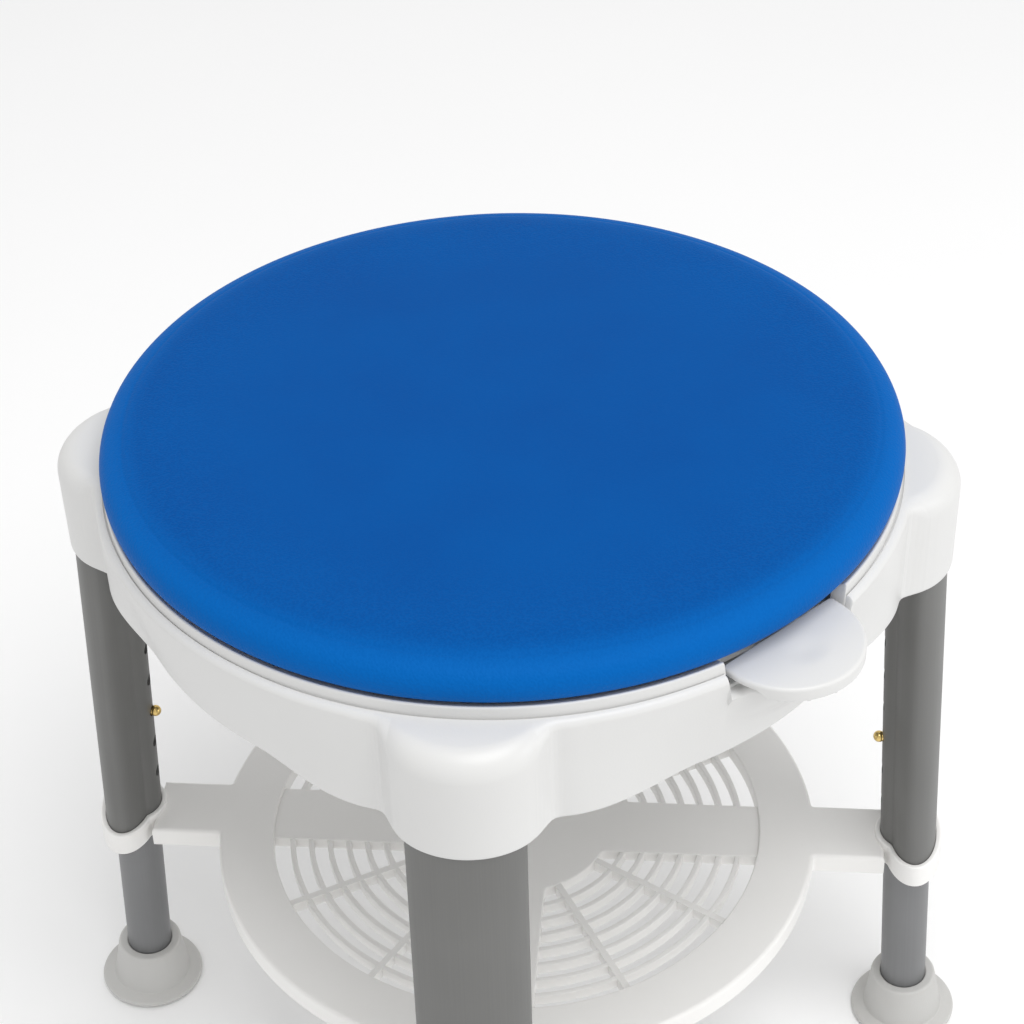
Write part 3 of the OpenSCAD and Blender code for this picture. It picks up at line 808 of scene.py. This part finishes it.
# %% A tree that deals copies round the middle
def new_tree(name, inputs):
    """An empty Geometry Nodes tree with named number inputs and one geometry output."""
    tree = bpy.data.node_groups.new(name, "GeometryNodeTree")
    tree.interface.new_socket("Geometry", in_out="OUTPUT", socket_type="NodeSocketGeometry")
    for title, value in inputs.items():
        kind = "NodeSocketInt" if isinstance(value, int) else "NodeSocketFloat"
        socket = tree.interface.new_socket(title, in_out="INPUT", socket_type=kind)
        socket.default_value = value
    graph = Graph(tree)
    group = tree.nodes.new("NodeGroupInput")
    graph.given = {title: Wire(graph, group.outputs[title]) for title in inputs}
    return graph


def finish_tree(graph, geometry, finish):
    """Realize Instances, Set Material, output."""
    real = graph.add("GeometryNodeRealizeInstances", {}, {0: geometry})
    dressed = graph.add("GeometryNodeSetMaterial", {}, {"Geometry": real, "Material": finish})
    output = graph.tree.nodes.new("NodeGroupOutput")
    graph.tree.links.new(dressed.socket, output.inputs[0])


def vector(graph, x=0.0, y=0.0, z=0.0):
    return graph.add("ShaderNodeCombineXYZ", {}, {0: x, 1: y, 2: z})


def dealt_round(graph, geometry, count, start):
    """count copies of geometry, turned round Z by equal steps from start."""
    points = graph.add("GeometryNodeMeshLine", {}, {"Count": count, "Offset": (0, 0, 0)})
    index = graph.add("GeometryNodeInputIndex")
    turn = vector(graph, z=index * (2 * math.pi) / count + start)
    inputs = {"Points": points, "Instance": geometry, "Rotation": turn}
    return graph.add("GeometryNodeInstanceOnPoints", {}, inputs)


def cuboid(graph, low, high):
    """A box between two corners, each a list of numbers or wires."""
    size = vector(graph, *[h - l for l, h in zip(low, high)])
    middle = vector(graph, *[(h + l) / 2 for l, h in zip(low, high)])
    box = graph.add("GeometryNodeMeshCube", {}, {"Size": size})
    return graph.add("GeometryNodeTransform", {}, {"Geometry": box, "Translation": middle})


def grown(name, graph, values):
    """Runs a tree on an empty mesh and returns the result as a plain object."""
    piece = placed(name, bpy.data.meshes.new(name))
    modifier = modify(piece, "NODES", node_group=graph.tree)
    for item in graph.tree.interface.items_tree:
        if item.in_out == "INPUT" and item.name in values:
            modifier[item.identifier] = values[item.name]
    return apply_modifiers(piece)


print("geometry tools ready")

# %% Deck, webs and hub
HUB_R = 24 * MM
HUB_LOW = 358 * MM
RIB_LOW = 352 * MM
RIB_T = 3 * MM
RING_WEB_R = 132 * MM
BOLT_BORE = 6.1 * MM
BAY, BAY_IN, BAY_OUT = 16 * MM, 114 * MM, 200 * MM
WINDOW_IN, WINDOW_OUT, WINDOW_HALF = 44 * MM, 112 * MM, 27 * MM
CUT_LOW, CUT_HIGH = 370 * MM, 400 * MM


def frame_core_tree():
    sizes = {"Webs": 8, "Web thickness": RIB_T, "Web low": RIB_LOW, "Deck low": DECK_LOW,
             "Deck top": DECK_TOP, "Hub radius": HUB_R, "Skirt radius": SKIRT_LOW_R}
    graph = new_tree("frame_core", sizes)
    g = graph.given
    half = g["Web thickness"] / 2
    web = cuboid(graph, [g["Hub radius"] - 2 * MM, half * -1, g["Web low"]],
                 [g["Skirt radius"] - 1.5 * MM, half, g["Deck low"] + 1 * MM])
    webs = dealt_round(graph, web, g["Webs"], math.pi / 8)
    deck = graph.add("GeometryNodeMeshCylinder", {},
                     {"Vertices": 192, "Radius": RIDGE_IN + 1 * MM,
                      "Depth": g["Deck top"] - g["Deck low"]})
    deck = graph.add("GeometryNodeTransform", {},
                     {"Geometry": deck,
                      "Translation": vector(graph, z=(g["Deck top"] + g["Deck low"]) / 2)})
    wedge = cuboid(graph, [WINDOW_IN, -WINDOW_HALF, CUT_LOW], [WINDOW_OUT, WINDOW_HALF, CUT_HIGH])
    # squeezed at its inner end, so that the bars between windows stay parallel
    place = graph.add("GeometryNodeInputPosition")
    apart = graph.add("ShaderNodeSeparateXYZ", {}, {0: place})
    across = Wire(graph, apart.socket.node.outputs[1])
    taper = (apart * math.tan(math.pi / 8) - 12 * MM) / WINDOW_HALF
    wedge = graph.add("GeometryNodeSetPosition", {},
                      {"Geometry": wedge,
                       "Position": vector(graph, apart, across * taper,
                                          Wire(graph, apart.socket.node.outputs[2]))})
    wedges = dealt_round(graph, wedge, 8, 0.0)
    slot = cuboid(graph, [BAY_IN, -BAY, CUT_LOW], [BAY_OUT, BAY, CUT_HIGH])
    slot = graph.add("GeometryNodeTransform", {},
                     {"Geometry": slot, "Rotation": vector(graph, z=LEVER_ANGLE)})
    both = graph.add("GeometryNodeJoinGeometry", {}, {0: [wedges, slot]})
    cutters = graph.add("GeometryNodeRealizeInstances", {}, {0: both})
    deck = graph.add("GeometryNodeMeshBoolean", {"operation": "DIFFERENCE"},
                     {"Mesh 1": deck, "Mesh 2": cutters})
    joined = graph.add("GeometryNodeJoinGeometry", {}, {0: [webs, deck]})
    finish_tree(graph, joined, WHITE_PLASTIC)
    return graph


core = grown("frame_core", frame_core_tree(), {"Webs": 8, "Web thickness": RIB_T})
rest = bmesh.new()
rest.from_mesh(core.data)
lathe(rest, rounded([(BOLT_BORE, HUB_LOW, 0), (HUB_R, HUB_LOW, 1 * MM),
                     (HUB_R, DECK_LOW + 1 * MM, 0), (BOLT_BORE, DECK_LOW + 1 * MM, 0)], 4),
      steps=96, closed=True)
lathe(rest, [(RING_WEB_R - 2 * MM, RIB_LOW + 8 * MM), (RING_WEB_R + 2 * MM, RIB_LOW + 8 * MM),
             (RING_WEB_R + 2 * MM, DECK_LOW + 1 * MM), (RING_WEB_R - 2 * MM, DECK_LOW + 1 * MM)],
      steps=144, closed=True)
bpy.data.objects.remove(core)

# %% [markdown]
# The lever's bay and the sleeves that grip the legs belong to the same moulding. A sleeve is the
# leg's own outline, grown by its wall, swept along the leaning leg and kept inside the socket.

# %% Leg outline, sleeves and lever bay
NOSE_R = 14.8 * MM
LENS_U = 2.5 * MM
LENS_A, LENS_B = 12.7 * MM, 27 * MM
OUTLINE_STEPS = 240


def leg_outline(grow, steps=OUTLINE_STEPS):
    """Plan of the oval tube with its round nose, seen along the leg, Y towards the middle."""
    half_x, half_y, nose = LENS_B + grow, LENS_A + grow, NOSE_R + grow
    path = []
    for turn in turns(steps):
        x, y = math.cos(turn), math.sin(turn)
        a = (x / half_x) ** 2 + (y / half_y) ** 2
        b = 2 * y * LENS_U / half_y ** 2
        c = (LENS_U / half_y) ** 2 - 1
        oval = (-b + math.sqrt(b * b - 4 * a * c)) / (2 * a)
        reach = smooth_max(nose, oval, 0.9 * MM)
        path.append(Vector((x * reach, y * reach)))
    return path


def leg_rows(matrix, levels, steps=OUTLINE_STEPS):
    """Rows of the leg's outline for (grow, height along the leg) pairs."""
    return [[matrix @ Vector((p.x, p.y, height)) for p in leg_outline(grow, steps)]
            for grow, height in levels]


def kept_inside(place, margin):
    """The place brought in where it would pass the frame's outer wall."""
    radius = math.hypot(place.x, place.y)
    limit = frame_reach(math.atan2(place.y, place.x), place.z) - margin
    share = min(1.0, limit / radius)
    return Vector((place.x * share, place.y * share, place.z))


SLEEVE_LOW, SLEEVE_HIGH, SLEEVE_WALL, SLEEVE_PLAY = 344.5 * MM, 382 * MM, 3 * MM, 0.05 * MM
for side in SIDES:
    rows = leg_rows(leg_frame(side), [(SLEEVE_WALL, SLEEVE_LOW), (SLEEVE_WALL, SLEEVE_HIGH),
                                      (SLEEVE_PLAY, SLEEVE_HIGH), (SLEEVE_PLAY, SLEEVE_LOW)], 96)
    loft(rest, [[kept_inside(p, 1 * MM) for p in row] for row in rows], closed=True)
for edge in (-1, 1):
    block(rest, (96 * MM, edge * (BAY + RIB_T / 2) - RIB_T / 2, RIB_LOW + 8 * MM),
          (188 * MM, edge * (BAY + RIB_T / 2) + RIB_T / 2, DECK_LOW + 1 * MM), LEVER_FRAME)
block(rest, (138 * MM, -BAY - MM, RIB_LOW + 8 * MM), (158 * MM, BAY + MM, RIB_LOW + 11 * MM),
      LEVER_FRAME)
block(rest, (94 * MM, -BAY - MM, RIB_LOW + 8 * MM), (97 * MM, BAY + MM, DECK_LOW + MM),
      LEVER_FRAME)
frame_core = bevel(object_from(rest, "frame_core", fix_normals=False), 0.35 * MM, 2)
dress(frame_core, WHITE_PLASTIC, "frame", "white_plastic", "seat_frame")

# %% [markdown]
# ## The lock lever
# A white paddle sticks out from under the pad. Its top has a shallow dish for the thumb, its edge
# turns down in a thin lip with a few small bumps under it, and behind it an arm runs to a barrel
# on the pin, with a tooth that drops into the seat's notches. The paddle is made of rings that
# shrink towards its middle, so the edge can be rounded and the dish pressed in by a formula.

# %% Lock lever
PADDLE_IN = 185.2 * MM
PADDLE_LOW = 391.5 * MM
PADDLE_TOP = 395.5 * MM
LIP_LOW = 388 * MM
LIP_FROM, LIP_TO = 203 * MM, 210 * MM
TOOTH_IN, TOOTH_OUT, TOOTH_HALF, TOOTH_TOP = 170 * MM, 180 * MM, 8 * MM, 390.5 * MM
PIN_U, PIN_Z = 108 * MM, 378 * MM
DISH_U, DISH_R, DISH_DEPTH = 203 * MM, 13 * MM, 0.8 * MM


def paddle_outline():
    """Half-round plan with a straight inner side whose corners are rounded."""
    corners = [(PADDLE_IN, -PADDLE_R, 1.5 * MM), (PADDLE_U, -PADDLE_R, 0)]
    corners += [(PADDLE_U + PADDLE_R * math.cos(t), PADDLE_R * math.sin(t), 0)
                for t in [math.radians(a) for a in range(-88, 90, 2)]]
    corners += [(PADDLE_U, PADDLE_R, 0), (PADDLE_IN, PADDLE_R, 1.5 * MM)]
    corners += [(PADDLE_IN, PADDLE_R * k / 8, 0) for k in range(7, -8, -1)]
    return rounded(corners, 4, closed=True)


def paddle_top(x, y):
    dish = 1 - step_up(math.hypot((x - DISH_U) * 1.25, y), 0, DISH_R)
    crown = (math.hypot(x - PADDLE_U, y) / PADDLE_R) ** 4
    return PADDLE_TOP - DISH_DEPTH * dish - 0.5 * MM * crown


def paddle_rows():
    """(share of the outline kept, height rule) rows from the top's middle to the underside's."""
    middle = Vector((PADDLE_U + 11 * MM, 0))
    outline = paddle_outline()

    def row(share, inset, height):
        ring = []
        for p in outline:
            arm = p - middle
            q = middle + arm * share - arm.normalized() * inset
            ring.append(Vector((q.x, q.y, height(q.x, q.y))))
        return ring

    def lip(x, y):
        return PADDLE_LOW - (PADDLE_LOW - LIP_LOW) * step_up(x, LIP_FROM, LIP_TO)

    def under(x, y):
        return PADDLE_LOW

    rows = [[Vector((middle.x, 0, paddle_top(middle.x, 0)))]]
    rows += [row(k / 20, 0, paddle_top) for k in range(1, 19)]
    for turn in (90, 72, 54, 36, 18, 0):
        angle = math.radians(turn)
        drop, inset = 1.5 * MM * (1 - math.sin(angle)), 1.5 * MM * (1 - math.cos(angle))
        rows.append(row(1, inset, lambda x, y, d=drop: paddle_top(x, y) - d))
    rows.append(row(1, 0, lambda x, y: lip(x, y) + 0.5 * MM))
    rows += [row(1, 0.5 * MM, lip), row(1, 2.1 * MM, lip), row(1, 2.6 * MM, under)]
    rows += [row(k / 4, 0, under) for k in (3, 2, 1)]
    rows.append([Vector((middle.x, 0, PADDLE_LOW))])
    return rows


lever = bmesh.new()
loft(lever, [[LEVER_FRAME @ p for p in row] for row in paddle_rows()])
ARM = 13 * MM
block(lever, (PIN_U, -ARM, PIN_Z - 3 * MM), (PADDLE_IN + 2.5 * MM, ARM, PIN_Z + 3 * MM),
      LEVER_FRAME)
block(lever, (PADDLE_IN, -ARM, PIN_Z - 3 * MM), (PADDLE_IN + 3.4 * MM, ARM, PADDLE_LOW + 1 * MM),
      LEVER_FRAME)
block(lever, (TOOTH_IN, -TOOTH_HALF, PIN_Z), (TOOTH_OUT, TOOTH_HALF, TOOTH_TOP), LEVER_FRAME)
barrel = LEVER_FRAME @ Matrix.Translation((PIN_U, 0, PIN_Z)) @ Matrix.Rotation(
    math.pi / 2, 4, "X")
PIN_BORE, BARREL_R = 2.56 * MM, 6 * MM
lathe(lever, rounded([(PIN_BORE, -ARM, 0), (BARREL_R, -ARM, 0.8 * MM), (BARREL_R, ARM, 0.8 * MM),
                      (PIN_BORE, ARM, 0)], 3), barrel, 64, closed=True)
NUB_R = 1.5 * MM
for degrees in (-52, -30, -8, 14):
    turn = math.radians(degrees)
    out = PADDLE_R - 1.6 * MM
    nub = LEVER_FRAME @ Matrix.Translation(
        (PADDLE_U + out * math.cos(turn), out * math.sin(turn), LIP_LOW + 0.3 * MM))
    lathe(lever, rounded([(0, 0.6 * MM, 0), (NUB_R, 0.6 * MM, 0), (NUB_R, -0.9 * MM, 0.8 * MM),
                          (0, -0.9 * MM, 0)], 4), nub, 24)
lock_lever = bevel(object_from(lever, "lock_lever_moulding"), 0.6 * MM, 3, 60)
dress(lock_lever, WHITE_PLASTIC, "lever", "white_plastic", "lock_lever", sharp=45)

# %% [markdown]
# ## The tray
# The tray is one moulding: a flat rim with a turned-down edge, arms that reach the legs, a cross
# of bars over a round hub, ring slats and short ribs. Rim and arms are one outline, a circle with
# four arms and a fillet in each corner, and so are hub and bars, so one function draws both. The
# section swept round them gives the rounded edge and the turned-down wall.

# %% Tray plan
TRAY_Z = 142 * MM
TRAY_R = 165.5 * MM
GRILLE_R = 135.2 * MM
TRAY_HUB_R = 53 * MM
ARM_HALF = 19.5 * MM
TRAY_SKIRT = 12 * MM
TRAY_WALL = 2.6 * MM
BAR_DROP = 2.4 * MM
SLAT_DEPTH = 7 * MM


def cross_outline(radius, half_width, reach, fillet):
    """A circle with four arms, as points with their outward directions."""
    tilt = math.asin((half_width + fillet) / (radius + fillet))
    corner = Vector(((radius + fillet) * math.cos(tilt), half_width + fillet))
    points = []
    for k in range(9):
        share = k / 4 - 1
        points.append((Vector((reach, half_width * share)), Vector((1, share))))
    side_start = reach - 9 * MM
    for k in range(8):
        x = side_start + (corner.x - side_start) * k / 7
        points.append((Vector((x, half_width)), Vector((0, 1))))
    for k in range(1, 9):
        turn = -math.pi / 2 - (math.pi / 2 - tilt) * k / 8
        way = Vector((math.cos(turn), math.sin(turn)))
        points.append((corner + way * fillet, -way))
    steps = 40
    for k in range(1, steps):
        turn = tilt + (math.pi / 2 - 2 * tilt) * k / steps
        way = Vector((math.cos(turn), math.sin(turn)))
        points.append((way * radius, way))
    mirrored = [(Vector((p.y, p.x)), Vector((n.y, n.x))) for p, n in points[9:25]]
    quarter = points + mirrored[::-1]
    whole = []
    for k in range(4):
        turn = Matrix.Rotation(math.pi / 2 * k, 2)
        whole += [(turn @ p, turn @ n) for p, n in quarter]
    return whole


def swept(outline, section, hole=None):
    """Rows of the section's (inset, height) points; past the last inset comes the hole's edge."""
    rows = []
    for inset, height in section:
        rows.append([Vector((*(p - n * inset), height)) for p, n in outline])
    inmost = [(p - n * section[-1][0]).normalized() for p, n in outline]
    for radius, height in hole or []:
        rows.append([Vector((*(way * radius), height)) for way in inmost])
    return rows


rim = bmesh.new()
rim_outline = cross_outline(TRAY_R, ARM_HALF, 203 * MM, 1.8 * MM)
skirt_z, inner_z = TRAY_Z - TRAY_SKIRT, TRAY_Z - 9.4 * MM
edge_section = rounded([(TRAY_WALL, skirt_z, 0.3 * MM), (0, skirt_z, 0.6 * MM),
                        (0, TRAY_Z, 2.4 * MM), (7 * MM, TRAY_Z, 0)], 6)
inner_edge = rounded([(GRILLE_R + 3 * MM, TRAY_Z, 0), (GRILLE_R, TRAY_Z, 1.0 * MM),
                      (GRILLE_R, inner_z, 0.4 * MM), (GRILLE_R + TRAY_WALL, inner_z, 0.4 * MM),
                      (GRILLE_R + TRAY_WALL, TRAY_Z - TRAY_WALL, 0)], 4)
inside = [(7 * MM, TRAY_Z - TRAY_WALL), (TRAY_WALL, TRAY_Z - TRAY_WALL - 1 * MM)]
rows = swept(rim_outline, edge_section, inner_edge)
rows += swept(rim_outline, inside)
loft(rim, rows, closed=True)
print("rim and arms:", len(rim.faces), "faces")

# %% Hub and bars
bar_top = TRAY_Z - BAR_DROP
bar_low = bar_top - SLAT_DEPTH
hub_outline = cross_outline(TRAY_HUB_R, ARM_HALF, GRILLE_R + 1.2 * MM, 4 * MM)
bar_section = rounded([(TRAY_WALL, bar_low, 0.3 * MM), (0, bar_low, 0.3 * MM),
                       (0, bar_top, 0.9 * MM), (3 * MM, bar_top, 0)], 4)
hub_rows = swept(hub_outline, bar_section)
hub_rows.append([Vector((0, 0, bar_top))])
under_rows = swept(hub_outline, [(TRAY_WALL, bar_top - TRAY_WALL)])
hub_rows = [[Vector((0, 0, bar_top - TRAY_WALL))], under_rows[0]] + hub_rows
loft(rim, hub_rows)
print("with hub and bars:", len(rim.faces), "faces")

# %% [markdown]
# Slats and ribs repeat by rule, so they are a Geometry Nodes tree: a row of points, one per slat,
# each carries a circle scaled to its own radius, and a small rounded section is swept along all
# of them. The ribs are one bar dealt round twelve directions with the four under the bars left
# out.

# %% Slats and ribs
def slat_tree():
    sizes = {"Slats": 7, "Hub radius": TRAY_HUB_R, "Rim radius": GRILLE_R, "Top": bar_top,
             "Slat width": 3 * MM, "Slat depth": 6.4 * MM, "Rib width": 3.6 * MM}
    graph = new_tree("tray_slats", sizes)
    g = graph.given
    pitch = (g["Rim radius"] - g["Hub radius"]) / (g["Slats"] + 1)
    points = graph.add("GeometryNodeMeshLine", {}, {"Count": g["Slats"], "Offset": (0, 0, 0)})
    index = graph.add("GeometryNodeInputIndex")
    radius = g["Hub radius"] + pitch * (index + 1)
    ring = graph.add("GeometryNodeCurvePrimitiveCircle", {}, {"Resolution": 144, "Radius": 1.0})
    rings = graph.add("GeometryNodeInstanceOnPoints", {},
                      {"Points": points, "Instance": ring,
                       "Scale": vector(graph, radius, radius, 1.0)})
    rings = graph.add("GeometryNodeRealizeInstances", {}, {0: rings})
    rings = graph.add("GeometryNodeSetCurveRadius", {}, {"Curve": rings, "Radius": 1.0})
    section = graph.add("GeometryNodeCurvePrimitiveQuadrilateral", {},
                        {"Width": g["Slat width"], "Height": g["Slat depth"]})
    section = graph.add("GeometryNodeFilletCurve", {"mode": "POLY"},
                        {"Curve": section, "Radius": 0.7 * MM, "Count": 3})
    slats = graph.add("GeometryNodeCurveToMesh", {}, {"Curve": rings, "Profile Curve": section})
    level = g["Top"] - g["Slat depth"] / 2 - 0.6 * MM
    slats = graph.add("GeometryNodeTransform", {},
                      {"Geometry": slats, "Translation": vector(graph, z=level)})
    half = g["Rib width"] / 2
    rib = cuboid(graph,
                 [g["Hub radius"] - 1 * MM, half * -1, g["Top"] - g["Slat depth"] - 0.6 * MM],
                 [g["Rim radius"] + 1 * MM, half, g["Top"] - 0.4 * MM])
    first = dealt_round(graph, rib, 4, math.pi / 6)
    second = dealt_round(graph, rib, 4, math.pi / 3)
    joined = graph.add("GeometryNodeJoinGeometry", {}, {0: [slats, first, second]})
    finish_tree(graph, joined, TRAY_PLASTIC)
    return graph


slats = grown("tray_slats", slat_tree(), {"Slats": 7, "Slat width": 3 * MM})
rim_object = object_from(rim, "tray_rim")
print("slats and ribs:", len(slats.data.polygons), "faces")

# %% [markdown]
# A collar at each arm's end grips the upper tube. It is the tube's outline again, swept along the
# leg with a rounded rim. Tray, slats and collars then become one mesh, because they are one
# moulding.

# %% Collars, and the tray in one piece
def collar(side):
    bm = bmesh.new()
    low, high, wall = 131.6 * MM, 146.2 * MM, 2.9 * MM
    section = rounded([(0.1 * MM, low, 0.3 * MM), (wall, low, 1.0 * MM), (wall, high, 1.1 * MM),
                       (0.1 * MM, high, 0.6 * MM)], 5, closed=True)
    loft(bm, leg_rows(leg_frame(side), section, 180), closed=True)
    return object_from(bm, "collar_" + side)


def joined(name, parts):
    bm = bmesh.new()
    for part in parts:
        bm.from_mesh(part.data)
        bpy.data.objects.remove(part)
    return object_from(bm, name, fix_normals=False)


tray = joined("tray_moulding", [rim_object, slats] + [collar(side) for side in SIDES])
dress(tray, TRAY_PLASTIC, "frame", "tray_plastic", "storage_tray", sharp=40)

# %% [markdown]
# ## The legs
# An upper tube of oval section with a row of height holes, a round inner tube that slides in it,
# and a spring-loaded brass button that drops into a hole. The tubes are the outline swept along
# the leg; the holes are cut by a boolean, since a real drill leaves a clean edge. Each tube then
# stores its own leg's coordinates for the drawn lines of its finish.

# %% Tubes
HOLE_PITCH = 22.5 * MM
BUTTON_L = 215.5 * MM
HOLE_R = 3.4 * MM
TUBE_WALL = 1.8 * MM
INNER_R, INNER_WALL = 12.7 * MM, 1.5 * MM


def through_leg(side, height):
    """Local Z runs from the leg's axis towards the middle, at a height along the leg."""
    turn = Matrix.Rotation(-math.pi / 2, 4, "X")
    return leg_frame(side) @ Matrix.Translation((0, 0, height)) @ turn


def drilled(piece, side, heights, near, far):
    """Round holes through the leg's inner face, cut by a boolean."""
    bm = bmesh.new()
    for height in heights:
        lathe(bm, [(0, near), (HOLE_R, near), (HOLE_R, far), (0, far)],
              through_leg(side, height), 40)
    cutter = object_from(bm, "drill")
    modify(piece, "BOOLEAN", operation="DIFFERENCE", solver="EXACT", object=cutter)
    apply_modifiers(piece)
    bpy.data.objects.remove(cutter)
    return piece


def mark_leg_place(piece, side):
    """Stores each point's place in its leg's own frame, for finishes that follow the leg."""
    back = leg_frame(side).inverted()
    layer = piece.data.attributes.new(LEG_PLACE, "FLOAT_VECTOR", "POINT")
    for i, vertex in enumerate(piece.data.vertices):
        layer.data[i].vector = back @ vertex.co


def wall_section(inner, outer, low, high):
    """A tube's wall with its four corners just broken."""
    ends = [(inner, low), (outer, low), (outer, high), (inner, high)]
    return rounded([(across, along, 0.3 * MM) for across, along in ends], 2, closed=True)


def upper_tube(side):
    bm = bmesh.new()
    section = wall_section(-TUBE_WALL, 0, 131 * MM, 391 * MM)
    loft(bm, leg_rows(leg_frame(side), section), closed=True)
    piece = object_from(bm, "oval_tube_" + side)
    drilled(piece, side, [BUTTON_L + k * HOLE_PITCH for k in range(-2, 5)], 8 * MM, 22 * MM)
    mark_leg_place(piece, side)
    return dress(piece, ANODISED_GREY, "frame", "anodised_grey", "upper_tube_" + side, sharp=30)


def inner_tube(side):
    bm = bmesh.new()
    section = wall_section(INNER_R - INNER_WALL, INNER_R, 7 * MM, 296 * MM)
    lathe(bm, section, leg_frame(side), 144, closed=True)
    piece = object_from(bm, "round_tube_" + side)
    drilled(piece, side, [BUTTON_L], 8 * MM, 16 * MM)
    mark_leg_place(piece, side)
    return dress(piece, SATIN_ALUMINIUM, "leg_" + side, "satin_aluminium", "inner_tube_" + side,
                 sharp=30)


for side in SIDES:
    upper_tube(side)
    inner_tube(side)

# %% [markdown]
# The rubber foot is turned: a wide thin flange, a tapering boss with a rounded lip round the
# tube, and a sole that is flat on the floor although the leg leans. Points that would go below
# the floor are brought up to it.

# %% Feet
def rubber_foot(side):
    bm = bmesh.new()
    flange, bore = 29.7 * MM, INNER_R + 0.05 * MM
    profile = rounded([
        (0, -4 * MM, 0), (flange - 3.4 * MM, -4 * MM, 0), (flange - 3 * MM, 0, 0),
        (flange, 3.0 * MM, 1.2 * MM), (flange - 0.8 * MM, 4.8 * MM, 1.2 * MM),
        (22.2 * MM, 6.2 * MM, 0.9 * MM), (18.0 * MM, 31 * MM, 1.6 * MM),
        (bore, 31 * MM, 1.0 * MM), (bore, 7 * MM, 0), (0, 7 * MM, 0)], 6)
    lathe(bm, profile, leg_frame(side), 120)
    for vertex in bm.verts:
        vertex.co.z = max(vertex.co.z, 0.0)
    piece = object_from(bm, "foot_" + side)
    return dress(piece, FOOT_RUBBER, "leg_" + side, "foot_rubber", "rubber_foot_" + side, sharp=40)


def snap_button(side):
    """Brass ball on its stem, with the strip of leaf that it is riveted to."""
    bm = bmesh.new()
    out, ball = 16.6 * MM, 3.1 * MM
    neck = 2.6 * MM
    start = -math.acos(neck / ball)
    arc = [start + (math.pi / 2 - start) * k / 14 for k in range(15)]
    profile = [(0, 9.4 * MM), (neck, 9.4 * MM)]
    profile += [(ball * math.cos(t), out + ball * math.sin(t)) for t in arc[:-1]]
    profile += [(0, out + ball)]
    lathe(bm, profile, through_leg(side, BUTTON_L), 48)
    block(bm, (-4 * MM, 9.2 * MM, BUTTON_L - 11 * MM), (4 * MM, 10 * MM, BUTTON_L + 11 * MM),
          leg_frame(side))
    piece = bevel(object_from(bm, "brass_button_" + side), 0.15 * MM, 2, 60)
    return dress(piece, BRASS, "button_" + side, "brass", "snap_button_" + side, sharp=40)


for side in SIDES:
    rubber_foot(side)
    snap_button(side)

# %% [markdown]
# ## Hardware that stays as it is
# Bolts, bushes, springs and the seat plate are already the right shape in the CAD model, so they
# only need a finish in each of their material slots.

# %% Finishes for the kept nodes
KEPT = {"cushion_board": PLYWOOD, "seat_plate": WHITE_PLASTIC,
        "pivot_bush": NYLON, "glide_pads": NYLON}
for name in ("cushion_screws", "pivot_bolt", "pivot_washer", "pivot_nut", "socket_screws",
             "lever_pin", "lever_spring"):
    KEPT[name] = ZINC_STEEL
for side in SIDES:
    KEPT["tube_bush_" + side] = DARK_NYLON
    KEPT["button_spring_" + side] = ZINC_STEEL
for name, finish in KEPT.items():
    for slot in frame["nodes"][name].material_slots:
        slot.material = finish
print("dressed", len(KEPT), "kept nodes")

# %% [markdown]
# ## Floor and light
# A pale floor, an even pale sky, and two large soft lamps: one nearly overhead, and one low on
# the right, which gives the skirt its gentle shading.

# %% Stage
def stage_floor():
    bm = bmesh.new()
    bmesh.ops.create_grid(bm, x_segments=1, y_segments=1, size=12)
    floor = object_from(bm, "floor", fix_normals=False)
    f = Finish("floor_paint", {"Specular IOR Level": 0.1})
    shade_of_floor = f.mix(f.noise(3.0, 2.0), tone(0.95, 0.95, 0.95), tone(0.97, 0.97, 0.97))
    f.feed(Base_Color=shade_of_floor)
    f.shader.inputs["Roughness"].default_value = 0.9
    floor.data.materials.append(f.material)


def soft_lamp(name, place, aim, size, power):
    lamp = placed(name, bpy.data.lights.new(name, "AREA"))
    lamp.data.shape = "DISK"
    lamp.data.size = size
    lamp.data.energy = power
    lamp.location = place
    lamp.rotation_euler = (Vector(aim) - Vector(place)).to_track_quat("-Z", "Y").to_euler()


def sky(strength):
    world = bpy.data.worlds.new("studio")
    world.use_nodes = True
    world.node_tree.nodes["Background"].inputs["Color"].default_value = tone(1, 1, 1)
    world.node_tree.nodes["Background"].inputs["Strength"].default_value = strength
    bpy.context.scene.world = world


stage_floor()
sky(0.78)
soft_lamp("overhead", (0.55, -0.75, 2.4), (0, 0, 0.2), 1.6, 26)
soft_lamp("side", (1.9, -0.5, 0.8), (0, 0, 0.25), 1.0, 5)
bpy.context.scene.view_settings.view_transform = "Standard"
print("floor and two lamps")
